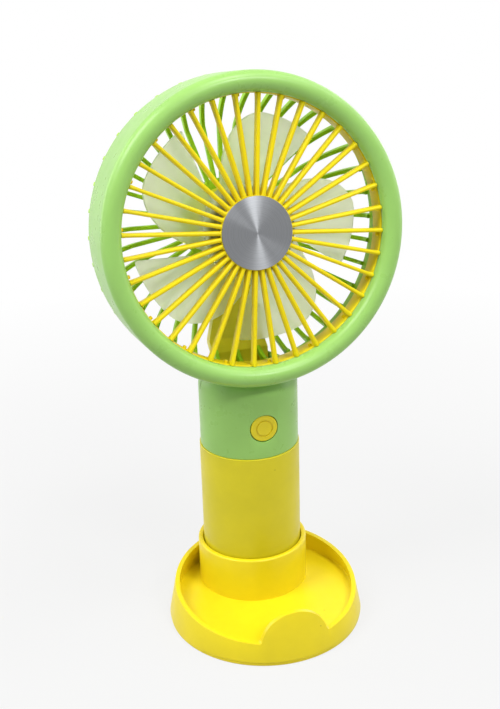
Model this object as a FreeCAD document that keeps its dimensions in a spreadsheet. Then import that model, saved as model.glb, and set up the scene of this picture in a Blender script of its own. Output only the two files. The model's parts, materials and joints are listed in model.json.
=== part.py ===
import FreeCAD, Part
import math
import os
import Sketcher

# A handheld fan that stands in a round desk base.
# Millimetres, +Z up, the front of the fan looks along -Y, and the origin is the
# centre of the base's underside. The head is modelled lying on its back: in the
# head's own frame +Z points out of the front of the fan and z = 0 is its back face.

Vector = FreeCAD.Vector

doc = FreeCAD.newDocument("handheld_fan")
sheet = doc.addObject("Spreadsheet::Sheet", "Sizes")

# Driving dimensions
DRIVING = [
    # Desk base
    ("base_radius", 37.5),
    ("plate_thickness", 1.4),
    ("plate_inset", 0.5),
    ("skirt_angle", 11.0),
    ("skirt_wall", 1.7),
    ("rim_slope", 8.5),
    ("floor_height", 8.2),
    ("floor_thickness", 2.0),
    ("tab_radius", 12.9),
    ("tab_rise", 11.2),
    ("tab_round", 0.35),
    ("tab_foot_round", 1.5),
    ("rim_round", 0.35),
    ("socket_rise", 17.6),
    ("socket_inset", 1.9),
    ("socket_wall", 1.9),
    ("socket_under_gap", 0.4),
    ("socket_floor_thickness", 1.6),
    ("socket_clearance", 0.3),
    ("seat_gap", 0.3),
    ("boss_radius", 2.8),
    ("base_screw_inset", 8.1),
    ("base_screw_angle", 30.0),
    # Screws
    ("screw_radius", 1.0),
    ("screw_head_radius", 1.9),
    ("screw_head", 0.8),
    ("screw_clearance", 0.06),
    ("screw_bite", 4.5),
    # Handle
    ("sleeve_radius", 19.0),
    ("sleeve_wall", 1.6),
    ("sleeve_floor", 2.0),
    ("seam_drop", 6.9),
    ("neck_radius", 18.6),
    ("neck_wall", 1.8),
    ("neck_room", 17.0),
    ("roof_thickness", 6.9),
    ("shoulder", 8.5),
    ("spigot_depth", 9.0),
    ("spigot_wall", 1.8),
    ("spigot_clearance", 0.15),
    ("saddle_clearance", 0.3),
    # Battery and electronics
    ("cell_radius", 9.2),
    ("cell_length", 65.0),
    ("cell_pad", 1.0),
    ("cell_clearance", 0.25),
    ("cradle_wall", 1.2),
    ("cradle_top_gap", 1.4),
    ("board_clearance", 1.0),
    ("board_gap", 2.5),
    ("board_thickness", 1.2),
    ("board_overhang", 1.1),
    ("ledge_width", 1.6),
    ("ledge_height", 1.4),
    ("button_rise", 3.9),
    ("button_radius", 5.1),
    ("button_gap", 0.3),
    ("button_recess", 0.35),
    ("button_rim", 1.2),
    ("button_flange", 1.0),
    ("button_ring_radius", 3.0),
    ("button_ring_width", 0.5),
    ("button_ring_depth", 0.35),
    ("button_travel", 0.5),
    ("switch_width", 6.2),
    ("switch_depth", 4.0),
    ("plunger_radius", 1.6),
    ("plunger_length", 2.4),
    ("plunger_clearance", 0.08),
    ("port_width", 9.0),
    ("port_height", 3.3),
    ("port_depth", 7.4),
    ("port_wall", 0.35),
    ("port_back", 1.0),
    ("port_setback", 0.9),
    ("port_clearance", 0.35),
    ("lamp_radius", 1.4),
    ("lamp_rise", 10.6),
    ("lamp_depth", 2.6),
    ("neck_screw_spread", 11.5),
    ("neck_screw_rise", 6.2),
    # Head position
    ("head_tilt", 7.9),
    ("saddle_depth", 5.1),
    ("head_offset", 9.6),
    # Front ring
    ("ring_radius", 54.3),
    ("lip_width", 7.2),
    ("ring_wall", 2.0),
    ("ring_back", 4.3),
    ("lip_step", 2.6),
    ("lip_edge", 1.0),
    # Front grille
    ("grille_inset", 3.1),
    ("grille_step", 0.3),
    ("grille_wall", 1.6),
    ("grille_wall_depth", 8.6),
    ("grille_lip_gap", 0.15),
    ("peg_radius", 0.7),
    ("peg_length", 1.0),
    ("peg_drop", 4.0),
    ("peg_turn", 8.0),
    ("pegs", 18),
    ("grille_flange", 1.4),
    ("front_ribs", 36),
    ("front_rib_width", 1.5),
    ("front_rib_depth", 3.0),
    ("front_rib_phase", 5.0),
    ("front_hub_radius", 12.9),
    ("front_hub_thickness", 2.6),
    ("disc_inset", 0.2),
    ("disc_thickness", 0.8),
    ("disc_proud", 0.45),
    # Impeller
    ("blades", 5),
    ("blade_tip_gap", 6.1),
    ("blade_root", 10.0),
    ("blade_lead", 12.6),
    ("blade_lead_round", 18.7),
    ("blade_tip_back", 2.0),
    ("blade_corner", 33.5),
    ("blade_trail_root", 1.0),
    ("blade_crest", 11.0),
    ("blade_thickness", 1.1),
    ("blade_setback", 2.2),
    ("blade_pitch_root", 0.45),
    ("blade_pitch_tip", 0.235),
    ("blade_phase", 80.0),
    ("impeller_hub_radius", 16.4),
    ("impeller_hub_wall", 1.3),
    ("hub_gap", 1.5),
    ("hub_length", 11.5),
    ("grille_gap", 2.9),
    ("impeller_hub_round", 2.0),
    # Motor
    ("shaft_radius", 1.0),
    ("running_clearance", 0.03),
    ("shaft_tail", 0.4),
    ("hub_boss_radius", 2.8),
    ("hub_boss_length", 1.4),
    ("yoke_wall", 1.0),
    ("yoke_length", 9.0),
    ("magnet_wall", 1.7),
    ("magnet_length", 8.0),
    ("air_gap", 0.4),
    ("stator_poles", 9),
    ("stator_length", 6.0),
    ("stator_ring", 2.1),
    ("pole_width", 1.5),
    ("pole_shoe", 1.1),
    ("coil_width", 0.75),
    ("bearing_radius", 2.3),
    ("bearing_length", 9.8),
    ("bearing_tube_wall", 1.2),
    ("motor_board_thickness", 0.8),
    ("motor_board_inset", 0.6),
    # Motor mount and its column
    ("motor_level", 6.6),
    ("mount_inset", 3.2),
    ("mount_wall", 2.0),
    ("bracket_thickness", 2.4),
    ("column_width", 17.6),
    ("column_thickness", 3.6),
    ("column_gap", 1.0),
    ("column_foot_width", 21.5),
    ("column_flare", 7.5),
    ("foot_setback", 4.5),
    ("foot_reach", 10.8),
    ("foot_rise", 4.0),
    ("toe_length", 6.8),
    ("toe_gap", 0.6),
    ("stem_thickness", 4.5),
    ("stem_bend", 3.5),
    ("stem_bend_reach", 9.3),
    ("stem_clearance", 0.3),
    ("stem_flange", 1.8),
    ("stem_flange_width", 1.5),
    ("cable_width", 2.4),
    ("cable_thickness", 1.1),
    ("cable_clearance", 0.2),
    ("cable_start", 9.0),
    # Rear guard
    ("rear_ribs", 36),
    ("rear_rib_width", 1.5),
    ("rear_hub_lip", 3.2),
    ("rear_thickness", 2.4),
    ("rear_phase", 8.3),
    ("bowl_depth", 15.9),
    ("bowl_width", 18.3),
    ("bowl_radius", 33.0),
    ("bowl_edge", 2.8),
    ("snap_clearance", 0.2),
    ("hook_clearance", 0.3),
    ("rear_ring_wall", 2.1),
    ("rear_ring_rise", 6.3),
    ("rear_ring_drop", 5.3),
    ("bridge_width", 2.4),
    ("rear_screw_spread", 7.0),
]

SHEET_NAME = "Sizes"


class Size:
    """A size: its number, and the expression that reads it from the sheet."""

    def __init__(self, number, text=None):
        self.number = float(number)
        self.text = text if text is not None else repr(float(number))

    def __add__(self, other):
        other = as_size(other)
        return Size(self.number + other.number, "(%s + %s)" % (self.text, other.text))

    def __sub__(self, other):
        other = as_size(other)
        return Size(self.number - other.number, "(%s - %s)" % (self.text, other.text))

    def __mul__(self, other):
        other = as_size(other)
        return Size(self.number * other.number, "(%s * %s)" % (self.text, other.text))

    def __truediv__(self, other):
        other = as_size(other)
        return Size(self.number / other.number, "(%s / %s)" % (self.text, other.text))

    def __neg__(self):
        return Size(-self.number, "(0 - %s)" % self.text)

    def __radd__(self, other):
        return as_size(other) + self

    def __rsub__(self, other):
        return as_size(other) - self

    def __rmul__(self, other):
        return as_size(other) * self


def as_size(value):
    return value if isinstance(value, Size) else Size(value)


def cosine(angle):
    angle = as_size(angle)
    return Size(math.cos(math.radians(angle.number)), "cos(%s)" % angle.text)


def sine(angle):
    angle = as_size(angle)
    return Size(math.sin(math.radians(angle.number)), "sin(%s)" % angle.text)


def tangent(angle):
    angle = as_size(angle)
    return Size(math.tan(math.radians(angle.number)), "tan(%s)" % angle.text)


def root(value):
    return Size(math.sqrt(value.number), "sqrt(%s)" % value.text)


class Sheet:
    """The sheet's driving sizes by name."""


S = Sheet()
for row, (alias, number) in enumerate(DRIVING, start=1):
    cell = "A%d" % row
    sheet.set(cell, str(number))
    sheet.setAlias(cell, alias)
    setattr(S, alias, Size(number, "%s.%s" % (SHEET_NAME, alias)))
doc.recompute()


# Helpers for drawing

def bind(thing, name, size):
    """Give a property its number and the expression that keeps it tied to the sheet."""
    thing.setExpression(name, as_size(size).text)


def place(thing, x=0, y=0, z=0, frame=None, turn=0):
    """Placement from sizes, in the object's frame or in the head's frame."""
    x, y, z, turn = as_size(x), as_size(y), as_size(z), as_size(turn)
    spot = "create(<<placement>>; create(<<vector>>; %s; %s; %s);" \
        " create(<<rotation>>; create(<<vector>>; 0; 0; 1); %s))" % (x.text, y.text, z.text, turn.text)
    if frame is None:
        thing.setExpression("Placement", spot)
    else:
        thing.setExpression("Placement", "%s.Placement * %s" % (frame.Name, spot))


def new_body(name, **where):
    body = doc.addObject("PartDesign::Body", name)
    body.Label = name
    place(body, **where)
    return body


def plane_of(body, role):
    return [feature for feature in body.Origin.OriginFeatures if feature.Role == role][0]


def new_sketch(body, role, offset=0):
    sketch = body.newObject("Sketcher::SketchObject", body.Name + "_sketch")
    sketch.AttachmentSupport = (plane_of(body, role), [""])
    sketch.MapMode = "FlatFace"
    bind(sketch, "AttachmentOffset.Base.z", offset)
    return sketch


def turn_sketch(sketch, angle):
    """Turn an upright sketch round the Z axis."""
    spot = sketch.AttachmentOffset
    spot.Rotation = FreeCAD.Rotation(Vector(0, 1, 0), angle.number)
    sketch.AttachmentOffset = spot
    bind(sketch, "AttachmentOffset.Rotation.Angle", angle)


def pin_point(sketch, geometry, position, x, y):
    """Fix one point of the sketch at sizes measured from its origin."""
    for kind, value, axis in (("DistanceX", x, -2), ("DistanceY", y, -1)):
        value = as_size(value)
        if value.number == 0 and value.text == "0.0":
            sketch.addConstraint(Sketcher.Constraint("PointOnObject", geometry, position, axis))
            continue
        index = sketch.addConstraint(
            Sketcher.Constraint(kind, -1, 1, geometry, position, value.number))
        sketch.setExpression("Constraints[%d]" % index, value.text)


def arc_between(start, end, radius):
    """Arc that runs from start to end, turning left where its radius is positive."""
    middle = (start + end) * 0.5
    chord = end - start
    half = chord.Length / 2
    left = Vector(-chord.y, chord.x, 0).normalize()
    rise = math.sqrt(radius * radius - half * half)
    centre = middle + left * math.copysign(rise, radius)
    crown = centre - left * math.copysign(abs(radius), radius)
    return Part.Arc(start, crown, end)


def outline(sketch, points, arcs=None):
    """Closed outline through the points. arcs gives the radius of the side after a point."""
    arcs = arcs or {}
    points = [(as_size(x), as_size(y)) for x, y in points]
    spots = [Vector(x.number, y.number, 0) for x, y in points]
    count = len(points)
    starts, ends = [], []
    for number, spot in enumerate(spots):
        following = spots[(number + 1) % count]
        if number in arcs:
            geometry = sketch.addGeometry(arc_between(spot, following, arcs[number].number), False)
            forward = arcs[number].number > 0
            starts.append((geometry, 1 if forward else 2))
            ends.append((geometry, 2 if forward else 1))
        else:
            geometry = sketch.addGeometry(Part.LineSegment(spot, following), False)
            starts.append((geometry, 1))
            ends.append((geometry, 2))
    for number in range(count):
        geometry, position = starts[number]
        before, before_position = ends[number - 1]
        sketch.addConstraint(
            Sketcher.Constraint("Coincident", before, before_position, geometry, position))
    for number, (x, y) in enumerate(points):
        geometry, position = starts[number]
        pin_point(sketch, geometry, position, x, y)
        if number in arcs:
            size = arcs[number]
            index = sketch.addConstraint(
                Sketcher.Constraint("Radius", geometry, abs(size.number)))
            text = size.text if size.number > 0 else "(0 - %s)" % size.text
            sketch.setExpression("Constraints[%d]" % index, text)


def circle(sketch, radius, x=0, y=0):
    x, y, radius = as_size(x), as_size(y), as_size(radius)
    spot = Vector(x.number, y.number, 0)
    geometry = sketch.addGeometry(Part.Circle(spot, Vector(0, 0, 1), radius.number), False)
    if x.text == "0.0" and y.text == "0.0":
        sketch.addConstraint(Sketcher.Constraint("Coincident", geometry, 3, -1, 1))
    else:
        pin_point(sketch, geometry, 3, x, y)
    index = sketch.addConstraint(Sketcher.Constraint("Radius", geometry, radius.number))
    sketch.setExpression("Constraints[%d]" % index, radius.text)


def rectangle(sketch, x_low, x_high, y_low, y_high):
    outline(sketch, [(x_low, y_low), (x_high, y_low), (x_high, y_high), (x_low, y_high)])


# Helpers for features

def feature(body, kind, sketch):
    made = body.newObject("PartDesign::" + kind, body.Name + "_" + kind.lower())
    made.Profile = sketch
    return made


def revolve(body, sketch, kind="Revolution", angle=360, reverse=False):
    made = feature(body, kind, sketch)
    made.ReferenceAxis = (sketch, ["V_Axis"])
    made.Angle = angle
    made.Reversed = reverse
    body.Tip = made
    doc.recompute()
    return made


def extrude(body, sketch, length, kind="Pad", reverse=False, both=False):
    made = feature(body, kind, sketch)
    bind(made, "Length", length)
    made.Reversed = reverse
    if both:
        made.SideType = "Symmetric"
    body.Tip = made
    doc.recompute()
    return made


def cut_up(body, sketch, length):
    """Pocket towards the sketch's normal."""
    return extrude(body, sketch, length, kind="Pocket", reverse=True)


def repeat(body, features, count):
    """Copies of the features round the body's Z axis."""
    made = body.newObject("PartDesign::PolarPattern", body.Name + "_pattern")
    made.Originals = features
    made.Axis = (plane_of(body, "Z_Axis"), [""])
    made.Angle = 360
    bind(made, "Occurrences", count)
    body.Tip = made
    doc.recompute()
    return made


def circle_edges(shape, radius, height):
    """Names of the whole round edges about Z with this radius at this height."""
    radius, height = as_size(radius).number, as_size(height).number
    found = []
    for number, edge in enumerate(shape.Edges, start=1):
        curve = edge.Curve
        if not isinstance(curve, Part.Circle):
            continue
        if abs(curve.Radius - radius) < 0.01 and abs(curve.Center.z - height) < 0.01 \
                and math.hypot(curve.Center.x, curve.Center.y) < 0.01:
            found.append("Edge%d" % number)
    return found


def round_circles(body, rings, radius, kind="Fillet"):
    """Round (or chamfer) the body's circular edges, given as (radius, height) pairs."""
    base = body.Tip
    names = []
    for ring_radius, height in rings:
        names += circle_edges(base.Shape, ring_radius, height)
    made = body.newObject("PartDesign::" + kind, body.Name + "_" + kind.lower())
    made.Base = (base, names)
    bind(made, "Radius" if kind == "Fillet" else "Size", radius)
    body.Tip = made
    doc.recompute()
    return made


def cylinder(name, radius, height, x=0, y=0, z=0, frame=None):
    made = doc.addObject("Part::Cylinder", name)
    bind(made, "Radius", radius)
    bind(made, "Height", height)
    place(made, x, y, z, frame)
    return made


def cone(name, low_radius, high_radius, height, x=0, y=0, z=0):
    made = doc.addObject("Part::Cone", name)
    bind(made, "Radius1", low_radius)
    bind(made, "Radius2", high_radius)
    bind(made, "Height", height)
    place(made, x, y, z)
    return made


def box(name, x_low, x_high, y_low, y_high, z_low, z_high, frame=None):
    made = doc.addObject("Part::Box", name)
    bind(made, "Length", x_high - x_low)
    bind(made, "Width", y_high - y_low)
    bind(made, "Height", z_high - z_low)
    place(made, x_low, y_low, z_low, frame)
    return made


def cut(name, base, tool):
    made = doc.addObject("Part::Cut", name)
    made.Base = base
    made.Tool = tool
    return made


def fuse(name, *shapes):
    made = doc.addObject("Part::MultiFuse", name)
    made.Shapes = list(shapes)
    made.Refine = True
    return made


NODES = {}


def node(name, thing):
    """Name a finished sub-part: its Label is its file's name."""
    thing.Label = name
    NODES[name] = thing
    return thing


# Sizes that several sub-parts share


def skirt_radius(height):
    return S.base_radius - skirt_slope * height


# the desk base, and where the handle stands in it
skirt_slope = tangent(S.skirt_angle)
socket_inner = S.sleeve_radius + S.socket_clearance
socket_outer = socket_inner + S.socket_wall
handle_y = S.base_radius - S.socket_inset - socket_outer
rim_height = S.floor_height + tangent(S.rim_slope) * skirt_radius(S.floor_height)
tab_top = S.floor_height + S.tab_rise
skirt_top = tab_top + 2
socket_top = S.floor_height + S.socket_rise
socket_floor = S.plate_thickness + S.socket_under_gap + S.socket_floor_thickness
base_screw_spread = S.base_radius - S.base_screw_inset
base_screw_spots = [(base_screw_spread * cosine(angle), base_screw_spread * sine(angle))
                    for angle in (S.base_screw_angle, 180 - S.base_screw_angle,
                                  180 + S.base_screw_angle, -S.base_screw_angle)]
screw_hole = S.screw_radius + S.screw_clearance

# heights up the handle, from the socket's floor to the top of the neck
sleeve_bottom = socket_floor + S.seat_gap
sleeve_inner = S.sleeve_radius - S.sleeve_wall
cell_bottom = sleeve_bottom + S.sleeve_floor + S.cell_pad
cell_top = cell_bottom + S.cell_length
board_height = cell_top + S.board_gap
board_top = board_height + S.board_thickness
sleeve_top = board_height - S.seam_drop
spigot_low = sleeve_top - S.spigot_depth
button_height = board_top + S.button_rise
lamp_height = board_top + S.lamp_rise
neck_screw_height = board_top + S.neck_screw_rise
neck_roof = board_top + S.neck_room
neck_top = neck_roof + S.roof_thickness
neck_inner = S.neck_radius - S.neck_wall
board_radius = neck_inner - S.board_clearance
spigot_outer = sleeve_inner - S.spigot_clearance
spigot_inner = spigot_outer - S.spigot_wall

# the head's layers, from the back of its guard to its front
bowl_back = -S.bowl_depth
bowl_front = bowl_back + S.rear_thickness
column_back = bowl_front + S.column_gap
column_front = column_back + S.column_thickness
bracket_front = S.motor_level
bracket_back = bracket_front - S.bracket_thickness
bearing_back = bracket_front
hub_back = bracket_front + S.hub_gap
hub_front = hub_back + S.hub_length
blade_front = hub_front - S.blade_setback
grille_front = hub_front + S.grille_gap + S.front_rib_depth
head_depth = grille_front + S.grille_inset
shaft_back = bearing_back - S.shaft_tail
shaft_front = hub_front - S.impeller_hub_wall + 0.5
rotor_front = hub_front - S.impeller_hub_wall - 0.5
stator_back = bracket_front + S.motor_board_thickness + 1.9
rear_rib_front = S.ring_back - S.hook_clearance
rear_ring_back = S.ring_back - S.rear_ring_drop
rear_ring_front = S.ring_back + S.rear_ring_rise

# the head's radii, from the ring inwards and from the motor outwards
ring_lip_radius = S.lip_width / 2
ring_mouth = S.ring_radius - S.lip_width
ring_wall_inner = S.ring_radius - S.ring_wall
ring_lip_back = head_depth - ring_lip_radius - S.lip_step
grille_wall_inner = ring_mouth - S.grille_step
grille_wall_outer = grille_wall_inner + S.grille_wall
blade_reach = grille_wall_inner - S.blade_tip_gap
blade_corner = blade_reach * cosine(S.blade_corner)
rear_ring_outer = ring_wall_inner - S.snap_clearance
rear_ring_inner = rear_ring_outer - S.rear_ring_wall
bowl_turn = S.ring_radius - S.bowl_width
bracket_radius = S.impeller_hub_radius - S.mount_inset
rear_hub_radius = bracket_radius + S.rear_hub_lip
disc_radius = S.front_hub_radius - S.disc_inset
yoke_outer = S.impeller_hub_radius - S.impeller_hub_wall
yoke_inner = yoke_outer - S.yoke_wall
magnet_inner = yoke_inner - S.magnet_wall
bearing_tube_outer = S.bearing_radius + S.bearing_tube_wall
stator_core_radius = bearing_tube_outer + S.stator_ring

# the column that carries the head, down to the flange of its stem under the neck's roof
head_height = neck_top - S.saddle_depth + S.ring_radius
foot_start = S.ring_radius - S.foot_reach
flare_start = foot_start - S.column_flare
foot_front = -S.foot_setback
toe_front = foot_front + S.toe_length
toe_top = S.ring_radius + S.toe_gap
stem_back = foot_front - S.stem_thickness
bend_start = S.ring_radius - S.stem_bend_reach
bend_end = bend_start + S.stem_bend
foot_end = (head_height + sine(S.head_tilt) * (toe_front + S.stem_flange_width)
            - neck_roof + S.stem_clearance) / cosine(S.head_tilt) + S.stem_flange

# the power button's face, flange and stem, measured from the handle's axis
button_face = -(S.neck_radius - S.button_recess)
flange_edge = S.button_radius + S.button_rim
flange_front = -(root(neck_inner * neck_inner - flange_edge * flange_edge) - 0.25)
plunger_tip = flange_front + S.button_flange + 0.8
plunger_bite = S.plunger_length / 2
switch_front = plunger_tip + S.plunger_length - plunger_bite


# The head's frame: z = 0 on the back face, +Z out of the front
head = doc.addObject("PartDesign::CoordinateSystem", "head_frame")
head.Placement = FreeCAD.Placement(Vector(0, 0, 0), FreeCAD.Rotation(Vector(1, 0, 0), 80))
bind(head, "Placement.Base.y", handle_y + S.head_offset)
bind(head, "Placement.Base.z", head_height)
bind(head, "Placement.Rotation.Angle", 90 - S.head_tilt)
doc.recompute()


# Desk base

def make_base_tray():
    inner_drop = S.skirt_wall
    shell = cone("skirt_outside", skirt_radius(S.plate_thickness), skirt_radius(skirt_top),
                 skirt_top - S.plate_thickness, z=S.plate_thickness)
    tray_well = cone("tray_well", skirt_radius(S.floor_height) - inner_drop,
                     skirt_radius(skirt_top) - inner_drop, skirt_top - S.floor_height,
                     z=S.floor_height)
    floor_under = S.floor_height - S.floor_thickness
    underside = cone("tray_underside", skirt_radius(S.plate_thickness) - inner_drop,
                     skirt_radius(floor_under) - inner_drop, floor_under - S.plate_thickness,
                     z=S.plate_thickness)
    skirt = cut("skirt", shell, fuse("skirt_hollows", tray_well, underside))

    # the rim is cut off on a slant, and a round tab is left standing at the front
    reach = S.base_radius + 5
    slant = box("rim_slant", -reach, reach, -reach, reach, Size(0), skirt_top + 20)
    slant.setExpression("Placement", "create(<<placement>>; create(<<vector>>; 0; 0; %s);"
                        " create(<<rotation>>; create(<<vector>>; 1; 0; 0); %s))"
                        " * create(<<placement>>; create(<<vector>>; %s; %s; 0);"
                        " create(<<rotation>>; create(<<vector>>; 0; 0; 1); 0))"
                        % (rim_height.text, S.rim_slope.text, (-reach).text, (-reach).text))
    tab = doc.addObject("Part::Cylinder", "tab_outline")
    bind(tab, "Radius", S.tab_radius)
    bind(tab, "Height", reach)
    tab.setExpression("Placement", "create(<<placement>>; create(<<vector>>; 0; 0; %s);"
                      " create(<<rotation>>; create(<<vector>>; 1; 0; 0); 90))"
                      % (tab_top - S.tab_radius).text)
    cutter = cut("rim_cutter", slant, tab)
    doc.recompute()
    trimmed = cut("skirt_trimmed", skirt, round_edges("rim_cutter_round", cutter, [
        (tab_feet(cutter.Shape), S.tab_foot_round.number)]))

    socket_under = socket_floor - S.socket_floor_thickness
    socket = cylinder("socket_tube", socket_outer, socket_top - socket_under,
                      y=handle_y, z=socket_under)
    bosses = [cylinder("tray_boss", S.boss_radius, floor_under + 0.5 - S.plate_thickness,
                       x=x, y=y, z=S.plate_thickness) for x, y in base_screw_spots]
    bore = cylinder("socket_bore", socket_inner, socket_top, y=handle_y, z=socket_floor)
    holes = [cylinder("tray_screw_hole", screw_hole, S.screw_bite, x=x, y=y, z=S.plate_thickness)
             for x, y in base_screw_spots]
    solid = fuse("tray_solid", trimmed, socket, *bosses)
    tray = cut("tray_bored", solid, fuse("tray_holes", bore, *holes))
    doc.recompute()
    return round_edges("base_tray", tray, [
        (edges_on_slant(tray.Shape), S.rim_round.number),
        (tab_edges(tray.Shape), S.tab_round.number),
        (rings_at(tray.Shape, socket_outer, socket_top, handle_y), 0.6),
        (rings_at(tray.Shape, socket_inner, socket_top, handle_y), 0.4)])


def tab_feet(shape):
    """The cutter's edges along the tab's feet."""
    found = []
    for number, edge in enumerate(shape.Edges, start=1):
        ends = [edge.valueAt(edge.FirstParameter), edge.valueAt(edge.LastParameter)]
        turned = [abs(abs(p.x) - abs(ends[0].x)) < 0.01 for p in ends]
        middle = edge.valueAt((edge.FirstParameter + edge.LastParameter) / 2)
        centre = tab_top.number - S.tab_radius.number
        on_tab = all(abs(math.hypot(p.x, p.z - centre) - S.tab_radius.number) < 0.01
                     for p in ends + [middle])
        level = rim_height.number + math.tan(math.radians(S.rim_slope.number)) * middle.y
        if on_tab and abs(middle.z - level) < 0.05:
            found.append(number)
    return found


def edges_on_slant(shape):
    """The rim's edges: where the slanted plane meets the skirt's outside and its inside."""
    slope = math.tan(math.radians(S.rim_slope.number))
    found = []
    for number, edge in enumerate(shape.Edges, start=1):
        marks = edge.discretize(5)
        if not all(abs(p.z - rim_height.number - slope * p.y) < 0.01 for p in marks):
            continue
        inside = [skirt_radius(p.z).number - math.hypot(p.x, p.y) for p in marks]
        for wall in (0, S.skirt_wall.number):
            if all(abs(depth - wall) < 0.01 for depth in inside):
                found.append(number)
    return found


def tab_edges(shape):
    """The tab's outline: edges that lie on the cylinder that trimmed it."""
    centre = tab_top.number - S.tab_radius.number
    found = []
    for number, edge in enumerate(shape.Edges, start=1):
        marks = edge.discretize(7)
        on_tab = all(abs(math.hypot(p.x, p.z - centre) - S.tab_radius.number) < 0.01 for p in marks)
        if on_tab and edge.Length > 5:
            found.append(number)
    return found


def rings_at(shape, radius, height, y):
    radius, height, y = as_size(radius).number, as_size(height).number, as_size(y).number
    found = []
    for number, edge in enumerate(shape.Edges, start=1):
        curve = edge.Curve
        if isinstance(curve, Part.Circle) and abs(curve.Radius - radius) < 0.01 \
                and abs(curve.Center.z - height) < 0.01 and abs(curve.Center.y - y) < 0.01:
            found.append(number)
    return found


def round_edges(name, base, groups):
    """Part fillet with a radius for each group of edge numbers."""
    made = doc.addObject("Part::Fillet", name)
    made.Base = base
    made.Edges = [(number, radius, radius) for edges, radius in groups for number in edges]
    doc.recompute()
    return made


def make_base_plate():
    body = new_body("base_bottom_plate")
    sketch = new_sketch(body, "XY_Plane")
    circle(sketch, S.base_radius - S.plate_inset)
    for x, y in base_screw_spots:
        circle(sketch, screw_hole, x, y)
    extrude(body, sketch, S.plate_thickness)
    recess = new_sketch(body, "XY_Plane")
    for x, y in base_screw_spots:
        circle(recess, S.screw_head_radius + 0.3, x, y)
    cut_up(body, recess, S.screw_head)
    return body


def make_base_screws():
    screws = []
    for x, y in base_screw_spots:
        head_part = cylinder("base_screw_head", S.screw_head_radius, S.screw_head - 0.1, x=x, y=y, z=0.1)
        shank = cylinder("base_screw_shank", S.screw_radius,
                         S.plate_thickness + S.screw_bite - S.screw_head - 0.2,
                         x=x, y=y, z=S.screw_head)
        screws.append(fuse("base_screw", head_part, shank))
    group = doc.addObject("Part::Compound", "base_screws")
    group.Links = screws
    return group


node("base_tray", make_base_tray())
node("base_bottom_plate", make_base_plate())
node("base_screws", make_base_screws())


# Handle

def make_grip_sleeve():
    body = new_body("grip_sleeve", y=handle_y)
    sketch = new_sketch(body, "XZ_Plane")
    outline(sketch, [(0, sleeve_bottom), (S.sleeve_radius, sleeve_bottom),
                     (S.sleeve_radius, sleeve_top), (sleeve_inner, sleeve_top),
                     (sleeve_inner, sleeve_bottom + S.sleeve_floor),
                     (0, sleeve_bottom + S.sleeve_floor)])
    revolve(body, sketch)
    round_circles(body, [(S.sleeve_radius, sleeve_bottom)], 1.0)
    round_circles(body, [(S.sleeve_radius, sleeve_top)], 0.25)
    return body


def neck_solid(name, front):
    """One half of the neck: spigot, wall, board ledge, roof and rounded shoulder."""
    body = new_body(name, y=handle_y)
    sketch = new_sketch(body, "XZ_Plane")
    ledge_inner = neck_inner - S.ledge_width
    outline(sketch, [
        (spigot_inner, spigot_low), (spigot_outer, spigot_low), (spigot_outer, sleeve_top),
        (S.neck_radius, sleeve_top), (S.neck_radius, neck_top - S.shoulder),
        (S.neck_radius - S.shoulder, neck_top), (0, neck_top), (0, neck_roof),
        (neck_inner, neck_roof), (neck_inner, board_height),
        (ledge_inner, board_height), (ledge_inner, board_height - S.ledge_height),
        (spigot_inner, board_height - S.ledge_height - 1.5)],
        arcs={4: S.shoulder})
    revolve(body, sketch, angle=180, reverse=front)
    return body


def saddle(name):
    """The space that the head's ring and the bowl of rear ribs take out of the neck's top."""
    body = new_body(name, frame=head)
    sketch = new_sketch(body, "XZ_Plane")
    clear = S.saddle_clearance
    outline(sketch, [
        (0, bowl_back - clear), (bowl_turn, bowl_back - clear),
        (S.ring_radius + clear, S.bowl_edge - clear), (S.ring_radius + clear, head_depth + 10),
        (0, head_depth + 10)],
        arcs={1: S.bowl_radius})
    revolve(body, sketch)
    return body


def stem_room(side):
    """The slot in the roof for the head's stem, and the room for its flange under the roof."""
    gap = S.stem_clearance
    half = S.column_foot_width / 2
    stem = box(side + "_stem_slot", -half - gap, half + gap, -(foot_end + 20),
               -(rear_ring_inner - 8), stem_back - gap, toe_front + gap, frame=head)
    slot = doc.addObject("Part::MultiCommon", side + "_roof_slot")
    slot.Shapes = [stem, cylinder(side + "_roof_zone", neck_inner, S.roof_thickness + 2,
                                  y=handle_y, z=neck_roof - 1)]
    small = gap * 0.8
    wide = half + S.stem_flange_width + small
    flange = box(side + "_stem_flange_room", -wide, wide, -(foot_end + small),
                 -(foot_end - S.stem_flange - small), stem_back - small,
                 toe_front + S.stem_flange_width + small, frame=head)
    return fuse(side + "_stem_room", slot, flange)


def along_y(name, radius, x, z, y_start, length):
    """Cylinder whose axis runs along +Y from y_start, measured from the handle's axis."""
    made = doc.addObject("Part::Cylinder", name)
    bind(made, "Radius", radius)
    bind(made, "Height", length)
    x, y, z = as_size(x), handle_y + y_start, as_size(z)
    made.setExpression("Placement", "create(<<placement>>; create(<<vector>>; %s; %s; %s);"
                       " create(<<rotation>>; create(<<vector>>; 1; 0; 0); -90))"
                       % (x.text, y.text, z.text))
    return made


neck_screw_seat = root(S.neck_radius * S.neck_radius - S.neck_screw_spread * S.neck_screw_spread) - 3.0
stem_gap = S.stem_clearance


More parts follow.
